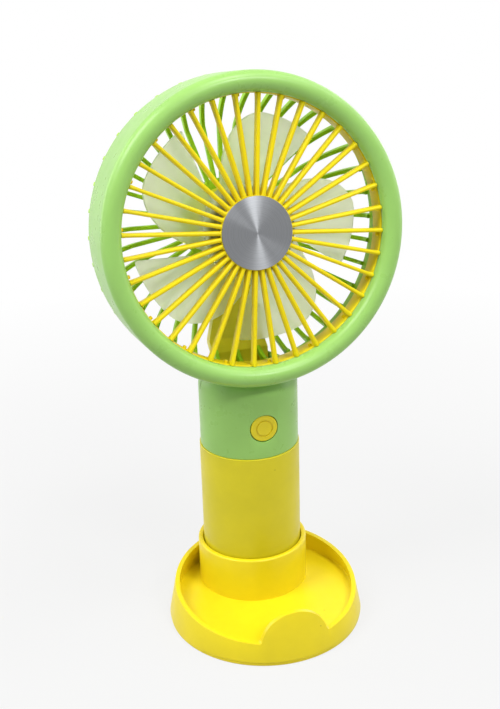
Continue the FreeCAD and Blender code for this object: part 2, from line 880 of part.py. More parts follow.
def make_neck_front():
    shell = neck_solid("neck_front", True)
    bosses = []
    for side in (-1, 1):
        boss = along_y("front_boss", S.boss_radius, side * S.neck_screw_spread, neck_screw_height,
                       -neck_inner, neck_inner)
        bosses.append(boss)
    limit = cylinder("front_boss_limit", S.neck_radius - 0.5, neck_top - spigot_low, y=handle_y, z=spigot_low)
    boss_part = doc.addObject("Part::MultiCommon", "front_bosses")
    boss_part.Shapes = [fuse("front_boss_pair", *bosses), limit]
    button_hole = along_y("button_hole", S.button_radius + S.button_gap, 0, button_height,
                          -S.neck_radius - 1, S.neck_wall + 6)
    flange_room = along_y("flange_room", flange_edge + S.button_gap, 0, button_height,
                          flange_front - 0.1, S.neck_wall + 3)
    holes = [along_y("front_screw_hole", screw_hole, side * S.neck_screw_spread,
                     neck_screw_height, -S.screw_bite, S.screw_bite + 1) for side in (-1, 1)]
    solid = fuse("neck_front_solid", shell, boss_part)
    return cut("neck_front_shell", solid,
               fuse("neck_front_cuts", saddle("front_saddle"), stem_room("front"), button_hole,
                    flange_room, *holes))


def make_neck_rear():
    shell = neck_solid("neck_rear", False)
    bosses = [along_y("rear_boss", S.boss_radius, side * S.neck_screw_spread, neck_screw_height,
                      Size(0), neck_inner) for side in (-1, 1)]
    limit = cylinder("rear_boss_limit", S.neck_radius - 0.5, neck_top - spigot_low, y=handle_y, z=spigot_low)
    boss_part = doc.addObject("Part::MultiCommon", "rear_bosses")
    boss_part.Shapes = [fuse("rear_boss_pair", *bosses), limit]
    holes = []
    for side in (-1, 1):
        holes.append(along_y("rear_screw_hole", screw_hole, side * S.neck_screw_spread,
                             neck_screw_height, Size(-1), neck_inner))
        holes.append(along_y("rear_screw_recess", S.screw_head_radius + 0.4,
                             side * S.neck_screw_spread, neck_screw_height,
                             neck_screw_seat, S.neck_radius))
    gap = S.port_clearance
    port = box("port_hole", -S.port_width / 2 - gap, S.port_width / 2 + gap,
               handle_y + neck_inner - 3, handle_y + S.neck_radius + 1,
               board_top - gap, board_top + S.port_height + gap)
    lamp = along_y("lamp_hole", S.lamp_radius + 0.05, 0, lamp_height, neck_inner - 3, S.neck_radius)
    solid = fuse("neck_rear_solid", shell, boss_part)
    return cut("neck_rear_shell", solid,
               fuse("neck_rear_cuts", saddle("rear_saddle"), stem_room("rear"), port, lamp,
                    *holes))


def make_neck_screws():
    screws = []
    for side in (-1, 1):
        x = side * S.neck_screw_spread
        screws.append(fuse(
            "neck_screw",
            along_y("neck_screw_head", S.screw_head_radius, x, neck_screw_height,
                    neck_screw_seat, S.screw_head * 1.6),
            along_y("neck_screw_shank", S.screw_radius, x, neck_screw_height,
                    0.4 - S.screw_bite, neck_screw_seat + S.screw_bite - 0.4)))
    group = doc.addObject("Part::Compound", "neck_screws")
    group.Links = screws
    return group


node("grip_sleeve", make_grip_sleeve())
node("neck_front_shell", make_neck_front())
node("neck_rear_shell", make_neck_rear())
node("neck_screws", make_neck_screws())


# Battery and electronics in the handle

def make_cell():
    body = new_body("battery_cell", y=handle_y)
    sketch = new_sketch(body, "XZ_Plane")
    top = cell_top
    shoulder = top - 1.2
    outline(sketch, [(0, cell_bottom), (S.cell_radius, cell_bottom), (S.cell_radius, shoulder),
                     (S.cell_radius / 3, shoulder), (S.cell_radius / 3, top), (0, top)])
    revolve(body, sketch)
    return body


def make_cell_pad():
    body = new_body("battery_foam_pad", y=handle_y)
    sketch = new_sketch(body, "XY_Plane", cell_bottom - S.cell_pad)
    circle(sketch, S.cell_radius + 2)
    extrude(body, sketch, S.cell_pad)
    return body


def make_cradle():
    """Moulded tube that centres the cell in the sleeve, with four long fins."""
    body = new_body("battery_cradle", y=handle_y)
    inner = S.cell_radius + S.cell_clearance
    outer = inner + S.cradle_wall
    cradle_length = spigot_low - S.cradle_top_gap - cell_bottom - 0.2
    sketch = new_sketch(body, "XY_Plane", cell_bottom + 0.2)
    circle(sketch, outer)
    circle(sketch, inner)
    extrude(body, sketch, cradle_length)
    fin = new_sketch(body, "XY_Plane", cell_bottom + 0.2)
    rectangle(fin, inner + 0.3, sleeve_inner - 0.15, -S.cradle_wall / 2, S.cradle_wall / 2)
    pad = extrude(body, fin, cradle_length)
    repeat(body, [pad], Size(4))
    return body


def make_board():
    body = new_body("circuit_board", y=handle_y)
    sketch = new_sketch(body, "XY_Plane", board_height)
    circle(sketch, board_radius)
    extrude(body, sketch, S.board_thickness)
    flat = new_sketch(body, "XY_Plane", board_height - 1)
    rectangle(flat, -board_radius, board_radius, -(board_radius + 1),
              switch_front - S.board_overhang)
    cut_up(body, flat, S.board_thickness + 2)
    return body


lead_spot = S.cell_radius + S.cell_clearance + S.cradle_wall + 1.2


def make_battery_leads():
    """A lead up from the cell's top contact, and one that runs up beside the cradle."""
    top = cell_top
    short = cylinder("top_lead", 0.7, board_height - top, y=handle_y, z=top)
    long = cylinder("side_lead", 0.7, board_height - cell_bottom, x=lead_spot * cosine(45),
                    y=handle_y + lead_spot * sine(45), z=cell_bottom)
    group = doc.addObject("Part::Compound", "battery_leads")
    group.Links = [short, long]
    return group


node("battery_cell", make_cell())
node("battery_foam_pad", make_cell_pad())
node("battery_cradle", make_cradle())
node("circuit_board", make_board())
node("battery_leads", make_battery_leads())


# Power button. Its body's +Z points out of the front of the neck.

def facing_front(thing, y, z):
    """Turn a body so that its +Z looks along -Y, with its origin on the handle's centre plane."""
    y = handle_y + y
    thing.setExpression("Placement", "create(<<placement>>; create(<<vector>>; 0; %s; %s);"
                        " create(<<rotation>>; create(<<vector>>; 1; 0; 0); 90))"
                        % (y.text, as_size(z).text))


def make_button():
    body = doc.addObject("PartDesign::Body", "power_button_body")
    facing_front(body, Size(0), button_height)
    sketch = new_sketch(body, "XZ_Plane")
    face = -button_face
    flange = -flange_front
    stem_end = -plunger_tip
    ring_in = S.button_ring_radius - S.button_ring_width / 2
    ring_out = S.button_ring_radius + S.button_ring_width / 2
    outline(sketch, [
        (0, stem_end), (S.plunger_radius, stem_end), (S.plunger_radius, flange - S.button_flange),
        (flange_edge, flange - S.button_flange), (flange_edge, flange), (S.button_radius, flange),
        (S.button_radius, face), (ring_out, face), (ring_out, face - S.button_ring_depth),
        (ring_in, face - S.button_ring_depth), (ring_in, face), (0, face)])
    revolve(body, sketch)
    round_circles(body, [(S.button_radius, face)], 0.4)
    return body


def make_plunger():
    body = doc.addObject("PartDesign::Body", "switch_plunger_body")
    facing_front(body, Size(0), button_height)
    sketch = new_sketch(body, "XY_Plane", -plunger_tip - S.plunger_length)
    circle(sketch, S.plunger_radius - 0.1)
    extrude(body, sketch, S.plunger_length)
    return body


def make_switch():
    body = new_body("switch_block", y=handle_y)
    half = S.switch_width / 2
    sketch = new_sketch(body, "XY_Plane", board_top)
    rectangle(sketch, -half, half, switch_front, switch_front + S.switch_depth)
    extrude(body, sketch, button_height + half - board_top)
    hole = new_sketch(body, "XZ_Plane")
    circle(hole, S.plunger_radius - 0.1 + S.plunger_clearance, 0, button_height)
    depth = -(switch_front + plunger_bite + S.button_travel + 0.7)
    hole.setExpression("AttachmentOffset.Base.z", depth.text)
    extrude(body, hole, Size(10), kind="Pocket", reverse=True)
    return body


node("power_button", make_button())
node("switch_plunger", make_plunger())
node("power_switch", make_switch())


def make_port():
    """Metal shell of the charging socket, its mouth in the back of the neck."""
    body = new_body("charging_port_shell", y=handle_y)
    mouth = S.neck_radius - S.port_setback
    half = S.port_width / 2
    sketch = new_sketch(body, "XZ_Plane")
    rectangle(sketch, -half, half, board_top, board_top + S.port_height)
    sketch.setExpression("AttachmentOffset.Base.z", (-mouth).text)
    extrude(body, sketch, S.port_depth)
    hollow = new_sketch(body, "XZ_Plane")
    rectangle(hollow, S.port_wall - half, half - S.port_wall,
              board_top + S.port_wall, board_top + S.port_height - S.port_wall)
    hollow.setExpression("AttachmentOffset.Base.z", (-mouth).text)
    cut_up(body, hollow, S.port_depth - S.port_back)
    return body


def make_port_tongue():
    body = new_body("charging_port_tongue", y=handle_y)
    mouth = S.neck_radius - S.port_setback
    middle = board_top + S.port_height / 2
    sketch = new_sketch(body, "XZ_Plane")
    rectangle(sketch, -3.3, 3.3, middle - 0.35, middle + 0.35)
    sketch.setExpression("AttachmentOffset.Base.z", (1.2 - mouth).text)
    extrude(body, sketch, S.port_depth - S.port_back - 1.2)
    return body


def make_lamp():
    body = doc.addObject("PartDesign::Body", "indicator_lens_body")
    place(body, y=handle_y)
    sketch = new_sketch(body, "XZ_Plane")
    circle(sketch, S.lamp_radius, 0, lamp_height)
    sketch.setExpression("AttachmentOffset.Base.z", (-(S.neck_radius - 0.1)).text)
    extrude(body, sketch, S.lamp_depth)
    return body


node("charging_port", make_port())
node("charging_port_tongue", make_port_tongue())
node("indicator_lens", make_lamp())


# Head: front ring, front grille and centre disc

def make_ring():
    body = new_body("bezel_ring_body", frame=head)
    sketch = new_sketch(body, "XZ_Plane")
    lip_inner = grille_wall_outer + 0.2
    crown = head_depth - ring_lip_radius
    step = crown - S.lip_edge
    outline(sketch, [
        (S.ring_radius, S.ring_back), (S.ring_radius, crown),
        (S.ring_radius - ring_lip_radius, head_depth), (ring_mouth, crown),
        (ring_mouth, step), (lip_inner, step), (lip_inner, ring_lip_back),
        (ring_wall_inner, ring_lip_back), (ring_wall_inner, S.ring_back)],
        arcs={1: ring_lip_radius, 2: ring_lip_radius})
    revolve(body, sketch)
    return body


def make_grille():
    body = new_body("front_grille_body", frame=head, turn=S.front_rib_phase)
    sketch = new_sketch(body, "XZ_Plane")
    inner = grille_wall_inner
    wall_front = head_depth - ring_lip_radius - S.lip_edge - S.grille_lip_gap
    flange_top = ring_lip_back - 0.05
    outline(sketch, [
        (inner, grille_front - S.grille_wall_depth),
        (grille_wall_outer, grille_front - S.grille_wall_depth),
        (grille_wall_outer, flange_top - S.grille_flange),
        (ring_wall_inner - 0.1, flange_top - S.grille_flange), (ring_wall_inner - 0.1, flange_top),
        (grille_wall_outer, flange_top), (grille_wall_outer, wall_front), (inner, wall_front)])
    revolve(body, sketch)
    hub = new_sketch(body, "XY_Plane", grille_front - S.front_hub_thickness)
    circle(hub, S.front_hub_radius)
    extrude(body, hub, S.front_hub_thickness)
    rib = new_sketch(body, "YZ_Plane", S.front_hub_radius - 1.5)
    half = S.front_rib_width / 2
    shoulder = grille_front - half
    outline(rib, [(-half, grille_front - S.front_rib_depth), (half, grille_front - S.front_rib_depth),
                  (half, shoulder), (0, grille_front), (-half, shoulder)],
            arcs={2: half, 3: half})
    pad = extrude(body, rib, inner + 0.15 - S.front_hub_radius + 1.5)
    repeat(body, [pad], S.front_ribs)
    peg = new_sketch(body, "YZ_Plane", inner - S.peg_length)
    turn_sketch(peg, S.peg_turn)
    circle(peg, S.peg_radius, 0, grille_front - S.peg_drop)
    stud = extrude(body, peg, S.peg_length + 0.5)
    repeat(body, [stud], S.pegs)
    recess = new_sketch(body, "XY_Plane", grille_front + S.disc_proud - S.disc_thickness)
    circle(recess, disc_radius + 0.1)
    cut_up(body, recess, S.disc_thickness)
    return body


def make_disc():
    body = new_body("hub_disc_body", frame=head)
    sketch = new_sketch(body, "XY_Plane", grille_front + S.disc_proud - S.disc_thickness)
    circle(sketch, disc_radius)
    extrude(body, sketch, S.disc_thickness)
    round_circles(body, [(disc_radius, grille_front + S.disc_proud)], 0.2, kind="Chamfer")
    return body


node("bezel_ring", make_ring())
node("front_grille", make_grille())
node("hub_disc", make_disc())


# Rear guard: a bowl of ribs between a round hub and a ring

def polar(radius, angle):
    return radius * cosine(angle), radius * sine(angle)


def make_rear_guard():
    body = new_body("rear_guard_body", frame=head)
    hub = new_sketch(body, "XY_Plane", bowl_back)
    circle(hub, rear_hub_radius)
    extrude(body, hub, S.rear_thickness)

    # one rib seen from the side: flat beside the hub, then curving forward to the ring
    rib = new_sketch(body, "XZ_Plane")
    turn_sketch(rib, S.rear_phase)
    outline(rib, [
        (rear_hub_radius - 1.5, bowl_back), (bowl_turn, bowl_back),
        (S.ring_radius, S.bowl_edge), (S.ring_radius, rear_rib_front),
        (rear_ring_inner + 0.4, rear_rib_front), (rear_ring_inner + 0.4, S.bowl_edge - 1.9),
        (bowl_turn, bowl_front), (rear_hub_radius - 1.5, bowl_front)],
        arcs={1: S.bowl_radius, 5: -S.bowl_radius})
    pad = extrude(body, rib, S.rear_rib_width, both=True)
    repeat(body, [pad], S.rear_ribs)

    ring = new_sketch(body, "XZ_Plane")
    outline(ring, [
        (rear_ring_inner, rear_ring_back), (rear_ring_outer, rear_ring_back),
        (rear_ring_outer, rear_ring_front), (rear_ring_inner, rear_ring_front)])
    revolve(body, ring)

    # room for the column's foot, and a bridge that joins the ribs behind the column
    foot = new_sketch(body, "XY_Plane", bowl_back - 1)
    foot_half = S.column_foot_width / 2 + stem_gap
    rectangle(foot, -foot_half, foot_half, -(S.ring_radius + 2), -bowl_turn)
    cut_up(body, foot, foot_front + stem_gap - bowl_back + 1)
    bridge = new_sketch(body, "XY_Plane", bowl_back)
    rectangle(bridge, -(foot_half + 2), foot_half + 2, -bowl_turn, -(bowl_turn - S.bridge_width))
    extrude(body, bridge, S.rear_thickness)

    # standoffs for the motor mount, with recessed screw holes
    posts = new_sketch(body, "XY_Plane", bowl_front)
    for x, y in rear_screw_spots:
        circle(posts, S.boss_radius, x, y)
    extrude(body, posts, S.column_gap)
    holes = new_sketch(body, "XY_Plane", bowl_back - 1)
    for x, y in rear_screw_spots:
        circle(holes, screw_hole, x, y)
    cut_up(body, holes, S.rear_thickness + S.column_gap + 2)
    heads = new_sketch(body, "XY_Plane", bowl_back - 1)
    for x, y in rear_screw_spots:
        circle(heads, S.screw_head_radius + 0.3, x, y)
    cut_up(body, heads, S.screw_head + 1)
    return body


rear_screw_spots = [polar(S.rear_screw_spread, angle) for angle in (90, 210, 330)]


def make_rear_screws():
    screws = []
    seat = bowl_back + S.screw_head
    for x, y in rear_screw_spots:
        head_part = cylinder("rear_screw_head", S.screw_head_radius, S.screw_head - 0.1,
                             x=x, y=y, z=bowl_back + 0.1, frame=head)
        shank = cylinder("rear_screw_shank", S.screw_radius, column_back + S.screw_bite - seat - 0.3,
                         x=x, y=y, z=seat, frame=head)
        screws.append(fuse("rear_screw", head_part, shank))
    group = doc.addObject("Part::Compound", "bracket_screws")
    group.Links = screws
    return group


node("rear_guard", make_rear_guard())
node("bracket_screws", make_rear_screws())


# Motor mount with its column, foot and stem

def cable_line(back, front, end):
    """Depths that follow the column down and bend forward with its stem."""
    return [(-bend_start, column_back + back), (-bend_end, stem_back + back),
            (-end, stem_back + back), (-end, stem_back + front),
            (-bend_end, stem_back + front), (-bend_start, column_back + front)]


def make_bracket():
    body = new_body("motor_bracket_body", frame=head)
    cup = new_sketch(body, "XZ_Plane")
    inner = bracket_radius - S.mount_wall
    outline(cup, [
        (inner, column_back), (bracket_radius, column_back), (bracket_radius, bracket_front),
        (0, bracket_front), (0, bracket_back), (inner, bracket_back)])
    revolve(body, cup)
    tube = new_sketch(body, "XY_Plane", bracket_back)
    circle(tube, bearing_tube_outer)
    extrude(body, tube, bearing_back + S.bearing_length - bracket_back)
    bosses = new_sketch(body, "XY_Plane", column_back)
    for x, y in rear_screw_spots:
        circle(bosses, S.boss_radius, x, y)
    extrude(body, bosses, bracket_back - column_back + 0.5)

    # the column seen from the front: straight, then flaring towards its foot
    column = new_sketch(body, "XY_Plane", column_back)
    half, foot_half = S.column_width / 2, S.column_foot_width / 2
    outline(column, [
        (half, -(bracket_radius - 3)), (half, -flare_start),
        (foot_half, -foot_start), (foot_half, -bend_start), (-foot_half, -bend_start),
        (-foot_half, -foot_start), (-half, -flare_start),
        (-half, -(bracket_radius - 3))])
    extrude(body, column, S.column_thickness)

    # the foot seen from the side: it steps forward, and its toe lies under the ring
    foot = new_sketch(body, "YZ_Plane")
    outline(foot, [
        (-foot_start, column_back), (-foot_start, column_front),
        (-(foot_start + S.foot_rise), foot_front), (-toe_top, foot_front),
        (-toe_top, toe_front), (-foot_end, toe_front), (-foot_end, stem_back),
        (-bend_end, stem_back), (-bend_start, column_back)])
    extrude(body, foot, S.column_foot_width - 0.02, both=True)
    flange = new_sketch(body, "YZ_Plane")
    rectangle(flange, -(foot_end), -(foot_end - S.stem_flange), stem_back + 0.3,
              toe_front + S.stem_flange_width)
    extrude(body, flange, S.column_foot_width + 2 * S.stem_flange_width, both=True)

    bore = new_sketch(body, "XY_Plane", bearing_back)
    circle(bore, S.bearing_radius + 0.02)
    cut_up(body, bore, S.bearing_length + 1)
    shaft_room = new_sketch(body, "XY_Plane", bracket_back + 0.6)
    circle(shaft_room, S.shaft_radius + 0.5)
    cut_up(body, shaft_room, S.bearing_length)
    holes = new_sketch(body, "XY_Plane", column_back - 1)
    for x, y in rear_screw_spots:
        circle(holes, screw_hole, x, y)
    cut_up(body, holes, S.screw_bite + 1.5)

    # channel for the motor's cable down the back of the column, and its way into the mount
    clear = S.cable_clearance
    cable_half = S.cable_width / 2 + clear
    floor = S.cable_thickness + 2 * clear
    channel = new_sketch(body, "YZ_Plane")
    outline(channel, [
        (-(S.cable_start - clear), column_back - 1), (-(S.cable_start - clear), column_back + floor),
        (-bend_start, column_back + floor), (-bend_end, stem_back + floor),
        (-(foot_end + 1), stem_back + floor), (-(foot_end + 1), column_back - 1)])
    extrude(body, channel, 2 * cable_half, kind="Pocket", both=True)
    passage = new_sketch(body, "XY_Plane", column_back - 1)
    rectangle(passage, -cable_half, cable_half, -(S.cable_start + S.cable_thickness + clear),
              -(S.cable_start - clear))
    cut_up(body, passage, bracket_front - column_back + 2)
    return body


def make_bearing():
    body = new_body("motor_bearing_body", frame=head)
    sketch = new_sketch(body, "XY_Plane", bearing_back)
    circle(sketch, S.bearing_radius)
    circle(sketch, S.shaft_radius + S.running_clearance)
    extrude(body, sketch, S.bearing_length)
    return body



def make_stator():
    """Laminated core: a ring round the bearing tube, with radial poles and curved shoes."""
    body = new_body("stator_core_body", frame=head)
    outer = magnet_inner - S.air_gap
    sketch = new_sketch(body, "XY_Plane", stator_back)
    circle(sketch, stator_core_radius)
    circle(sketch, bearing_tube_outer + 0.02)
    extrude(body, sketch, S.stator_length)
    pole = new_sketch(body, "XY_Plane", stator_back)
    half = S.pole_width / 2
    wing = Size(150) / S.stator_poles
    shoe = outer - S.pole_shoe
    outline(pole, [
        (stator_core_radius - 0.5, -half), (shoe, -half), polar(shoe, -wing), polar(outer, -wing),
        polar(outer, wing), polar(shoe, wing), (shoe, half), (stator_core_radius - 0.5, half)],
        arcs={3: outer})
    pad = extrude(body, pole, S.stator_length)
    repeat(body, [pad], S.stator_poles)
    return body


def make_coils():
    """One coil round each pole, as separate solids."""
    outer = magnet_inner - S.air_gap - S.pole_shoe - 0.3
    inner = stator_core_radius + 0.35
    gap = 0.08
    tall = S.stator_length + 2 * S.coil_width + 2 * gap
    wide = S.pole_width + 2 * S.coil_width + 2 * gap
    block = box("coil_block", inner, outer, -wide / 2, wide / 2,
                stator_back - gap - S.coil_width, stator_back - gap - S.coil_width + tall)
    window = box("coil_window", inner - 1, outer + 1, -(S.pole_width / 2 + gap),
                 S.pole_width / 2 + gap, stator_back - gap, stator_back + S.stator_length + gap)
    coil = cut("coil", block, window)
    doc.recompute()
    count = int(round(S.stator_poles.number))
    ring = doc.addObject("Part::Feature", "stator_coils")
    turns = []
    for number in range(count):
        turned = coil.Shape.copy()
        turned.rotate(Vector(0, 0, 0), Vector(0, 0, 1), 360.0 / count * number)
        turns.append(turned)
    ring.Shape = Part.makeCompound(turns)
    ring.Placement = head.Placement
    return ring


def make_motor_board():
    body = new_body("motor_board_body", frame=head)
    sketch = new_sketch(body, "XY_Plane", bracket_front)
    circle(sketch, (bracket_radius - S.motor_board_inset))
    circle(sketch, bearing_tube_outer + 0.1)
    extrude(body, sketch, S.motor_board_thickness)
    return body


def make_cable():
    """Flat two-core cable from the motor's board down the column to the circuit board."""
    body = new_body("motor_cable_body", frame=head)
    back = S.cable_clearance
    front = back + S.cable_thickness
    # the board's top meets the tilted cable: where its end lies, measured down the head
    end = (head_height - board_top + sine(S.head_tilt) * (stem_back + back)) / cosine(S.head_tilt) - 0.1
    start = S.cable_start
    sketch = new_sketch(body, "YZ_Plane")
    outline(sketch, [(-start, bracket_front), (-start, column_back + back)]
            + cable_line(back, front, end)
            + [(-(start + S.cable_thickness), column_back + front),
               (-(start + S.cable_thickness), bracket_front)])
    extrude(body, sketch, S.cable_width, both=True)
    return body


node("motor_bracket", make_bracket())
node("motor_bearing", make_bearing())
node("stator_core", make_stator())
node("stator_coils", make_coils())
node("motor_board", make_motor_board())
node("motor_cable", make_cable())


# Impeller: hub and blades, with the rotor inside and the shaft

def leading_edge(station):
    """How far a blade reaches ahead of its spoke: a straight edge, then a quarter ellipse."""
    start = blade_reach - S.blade_lead_round
    if station.number <= start.number:
        return S.blade_lead
    share = (station - start) / S.blade_lead_round
    return (S.blade_lead + S.blade_tip_back) * root(1 - share * share) - S.blade_tip_back


def blade_section(body, station, trailing):
    """Cross-section of the blade in the plane x = station: a thin slanted strip."""
    sketch = new_sketch(body, "YZ_Plane", station)
    share = (station - S.blade_root) / (blade_reach - S.blade_root)
    pitch = S.blade_pitch_root + (S.blade_pitch_tip - S.blade_pitch_root) * share
    leading = leading_edge(station)
    half = S.blade_thickness / 2

    def depth(across):
        return blade_front - pitch * (S.blade_crest - across)

    outline(sketch, [
        (trailing, depth(trailing) - half), (leading, depth(leading) - half),
        (leading, depth(leading) + half), (trailing, depth(trailing) + half)])
    return sketch


def blade_loft(body, name, sections):
    loft = body.newObject("PartDesign::AdditiveLoft", name)
    loft.Profile = sections[0]
    loft.Sections = sections[1:]
    loft.Ruled = False
    body.Tip = loft
    doc.recompute()
    return loft


def make_impeller():
    body = new_body("impeller_body", frame=head, turn=S.blade_phase)
    hub = new_sketch(body, "XY_Plane", hub_back)
    circle(hub, S.impeller_hub_radius)
    extrude(body, hub, hub_front - hub_back)
    round_circles(body, [(S.impeller_hub_radius, hub_front)], S.impeller_hub_round)

    # a blade's trailing edge runs straight out to a corner, and its tip follows a circle
    corner_trail = -blade_reach * sine(S.blade_corner)
    inner_sections = []
    for share in (0, 0.26, 0.51, 0.76, 1):
        station = S.blade_root + (blade_corner - S.blade_root) * share
        trailing = S.blade_trail_root + (corner_trail - S.blade_trail_root) * share
        inner_sections.append(blade_section(body, station, trailing))
    outer_sections = []
    for share in (1, 0.8, 0.6, 0.4, 0.22, 0.1):
        angle = S.blade_corner * share
        outer_sections.append(
            blade_section(body, blade_reach * cosine(angle), -blade_reach * sine(angle)))
    inner_loft = blade_loft(body, "blade_inner", inner_sections)
    outer_loft = blade_loft(body, "blade_tip", outer_sections)
    repeat(body, [inner_loft, outer_loft], S.blades)

    hollow = new_sketch(body, "XY_Plane", hub_back - 12)
    circle(hollow, yoke_outer)
    cut_up(body, hollow, hub_front - S.impeller_hub_wall - hub_back + 12)
    boss = new_sketch(body, "XY_Plane",
                      hub_front - S.impeller_hub_wall - S.hub_boss_length)
    circle(boss, S.hub_boss_radius)
    extrude(body, boss, S.hub_boss_length + 0.2)
    bore = new_sketch(body, "XY_Plane",
                      hub_front - S.impeller_hub_wall - S.hub_boss_length - 1)
    circle(bore, S.shaft_radius + 0.01)
    cut_up(body, bore, S.hub_boss_length + 1.6)
    return body



def make_shaft():
    body = new_body("motor_shaft_body", frame=head)
    sketch = new_sketch(body, "XY_Plane", shaft_back)
    circle(sketch, S.shaft_radius)
    extrude(body, sketch, shaft_front - shaft_back)
    return body


def make_ring_part(name, outer, inner, front, length):
    body = new_body(name + "_body", frame=head)
    sketch = new_sketch(body, "XY_Plane", front - length)
    circle(sketch, outer)
    circle(sketch, inner)
    extrude(body, sketch, length)
    return body


node("impeller", make_impeller())
node("motor_shaft", make_shaft())
node("rotor_yoke", make_ring_part("rotor_yoke", yoke_outer - 0.02, yoke_inner,
                                  rotor_front, S.yoke_length))
node("rotor_magnet", make_ring_part("rotor_magnet", yoke_inner - 0.02, magnet_inner,
                                    rotor_front - 0.5, S.magnet_length))


# Checks, then one file for each sub-part

doc.recompute()
for thing in doc.Objects:
    if "Invalid" in thing.State or "Error" in thing.State:
        raise RuntimeError("%s did not build: %s" % (thing.Label, thing.State))
for name, thing in NODES.items():
    if thing.Shape.isNull() or not thing.Shape.isValid():
        raise RuntimeError("%s has no valid shape" % name)

os.makedirs("parts", exist_ok=True)
for name, thing in NODES.items():
    thing.Shape.exportStep("parts/%s.step" % name)
    print("%-24s solids %d volume %.1f" % (name, len(thing.Shape.Solids), thing.Shape.Volume))
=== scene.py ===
from contextlib import contextmanager
import json
import math

import bmesh
import bpy
from mathutils import Matrix, Vector


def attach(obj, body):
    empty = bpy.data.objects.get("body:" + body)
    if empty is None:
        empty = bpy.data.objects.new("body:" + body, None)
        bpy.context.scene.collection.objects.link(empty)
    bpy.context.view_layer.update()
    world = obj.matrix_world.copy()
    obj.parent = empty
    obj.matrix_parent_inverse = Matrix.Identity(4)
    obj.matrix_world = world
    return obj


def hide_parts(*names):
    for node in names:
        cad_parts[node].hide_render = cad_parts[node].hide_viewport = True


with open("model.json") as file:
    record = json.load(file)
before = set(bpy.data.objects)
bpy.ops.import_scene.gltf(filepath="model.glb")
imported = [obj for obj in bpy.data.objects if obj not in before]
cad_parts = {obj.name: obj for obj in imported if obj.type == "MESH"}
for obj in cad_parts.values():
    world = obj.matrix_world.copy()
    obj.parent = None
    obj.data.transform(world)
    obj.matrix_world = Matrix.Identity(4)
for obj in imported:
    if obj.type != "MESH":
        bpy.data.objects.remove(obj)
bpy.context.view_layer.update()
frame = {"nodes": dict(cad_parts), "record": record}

# Handheld fan standing in its round desk base. Sizes and outlines are in millimetres and
# become metres where a mesh is made. Angles are in degrees. The handle's frame has its axis
# on +Z. The head's frame has +Z out of the fan's front, with z = 0 just behind the ring.

MM = 0.001
SAME_POINT = 1e-7           # metres
SCENE = bpy.context.scene

HANDLE_Y = 14.4
HEAD_Y = 24.0
HEAD_HEIGHT = 148.5
HEAD_TILT = 7.9
HANDLE = Matrix.Translation((0, HANDLE_Y * MM, 0))
HEAD = (Matrix.Translation((0, HEAD_Y * MM, HEAD_HEIGHT * MM))
        @ Matrix.Rotation(math.radians(90 - HEAD_TILT), 4, "X"))

# Desk base
BASE_RADIUS = 37.5
SKIRT_ANGLE = 11
SKIRT_FOOT = 1.4            # top of the bottom plate
RIM_MIDDLE = 13.566         # the rim's height at y = 0
RIM_SLOPE = 8.5
BLANK_TOP = 21.4            # the skirt before its rim is cut
TRAY_WALL = 1.7
TRAY_FLOOR = 8.2
TAB_RADIUS = 12.9
TAB_CENTRE = 6.5
TAB_FILLET = 1.5
SOCKET_RADIUS = 21.2
SOCKET_BORE = 19.3
SOCKET_TOP = 25.8
SOCKET_FLOOR = 3.4
SOCKET_UNDERSIDE = 1.9
PLATE_RADIUS = 37.0
BASE_SCREW_REACH = 29.4
BASE_SCREW_ANGLES = (30, 150, 210, 330)
BASE_SCREW_POCKET = 2.2
BASE_SCREW_SINK = 0.8

# Handle
SLEEVE_RADIUS = 19.0
SLEEVE_BORE = 17.4
SLEEVE_FOOT = 3.7
SLEEVE_FLOOR = 5.7
SLEEVE_TOP = 67.3
NECK_RADIUS = 18.6
NECK_BORE = 16.8
NECK_SHOULDER = 8.5
NECK_LEDGE = 74.2           # the bore widens above it
NECK_ROOF = 92.4            # underside of the roof
NECK_TOP = 99.3
SPIGOT_RADIUS = 17.25       # the part of the neck inside the sleeve
SPIGOT_BORE = 15.45
SPIGOT_FOOT = 58.3
SPIGOT_TOP = 71.3
BUTTON_HEIGHT = 79.3
BUTTON_HOLE = 5.4
NECK_SCREW_X = 11.5
NECK_SCREW_HEIGHT = 81.6
NECK_SCREW_HOLE = 2.3
PORT_HALF_WIDTH = 4.85
PORT_LOW, PORT_HIGH = 75.05, 79.05
LAMP_HEIGHT = 86
LAMP_HOLE = 1.45

# Ring, front grille and disc
HEAD_DEPTH = 28.6
RING_RADIUS = 54.3
RING_MOUTH = 47.1
RING_BACK = 4.3
RING_BORE = 52.3
RING_EDGE = 3.6             # radius of the ring's full round front
SEAT_BORE = 48.6            # the shoulder that the grille's flange rests on
SEAT_BACK = 22.4
RIB_COUNT = 36
GRILLE_FRONT = 25.5
GRILLE_PHASE = 5
GRILLE_RIB_DEPTH = 3.0
GRILLE_RIB_WIDTHS = (       # (radius, half the width)
    (12.2, 0.95), (13.4, 0.80), (15.5, 0.76), (22, 0.74), (34, 0.70), (43, 0.66),
    (45.4, 0.70), (46.7, 0.80), (46.95, 0.70))
WALL_INSIDE = 46.8
WALL_OUTSIDE = 48.4
WALL_BACK = 16.9
WALL_FRONT = 23.85
FLANGE_RADIUS = 52.2
FLANGE_BACK, FLANGE_FRONT = 20.95, 22.35
PEG_COUNT = 18
PEG_PHASE = 13
PEG_LEVEL = 21.5
PEG_RADII = ((45.8, 0.45), (45.95, 0.64), (46.2, 0.7), (47.3, 0.72))
GRILLE_HUB_RADIUS = 12.9
GRILLE_HUB_BACK = 22.9
DISC_POCKET = 12.75
DISC_FLOOR = 25.0
DISC_RADIUS = 12.7
DISC_BACK, DISC_FRONT, DISC_CROWN = 25.15, 25.95, 25.98

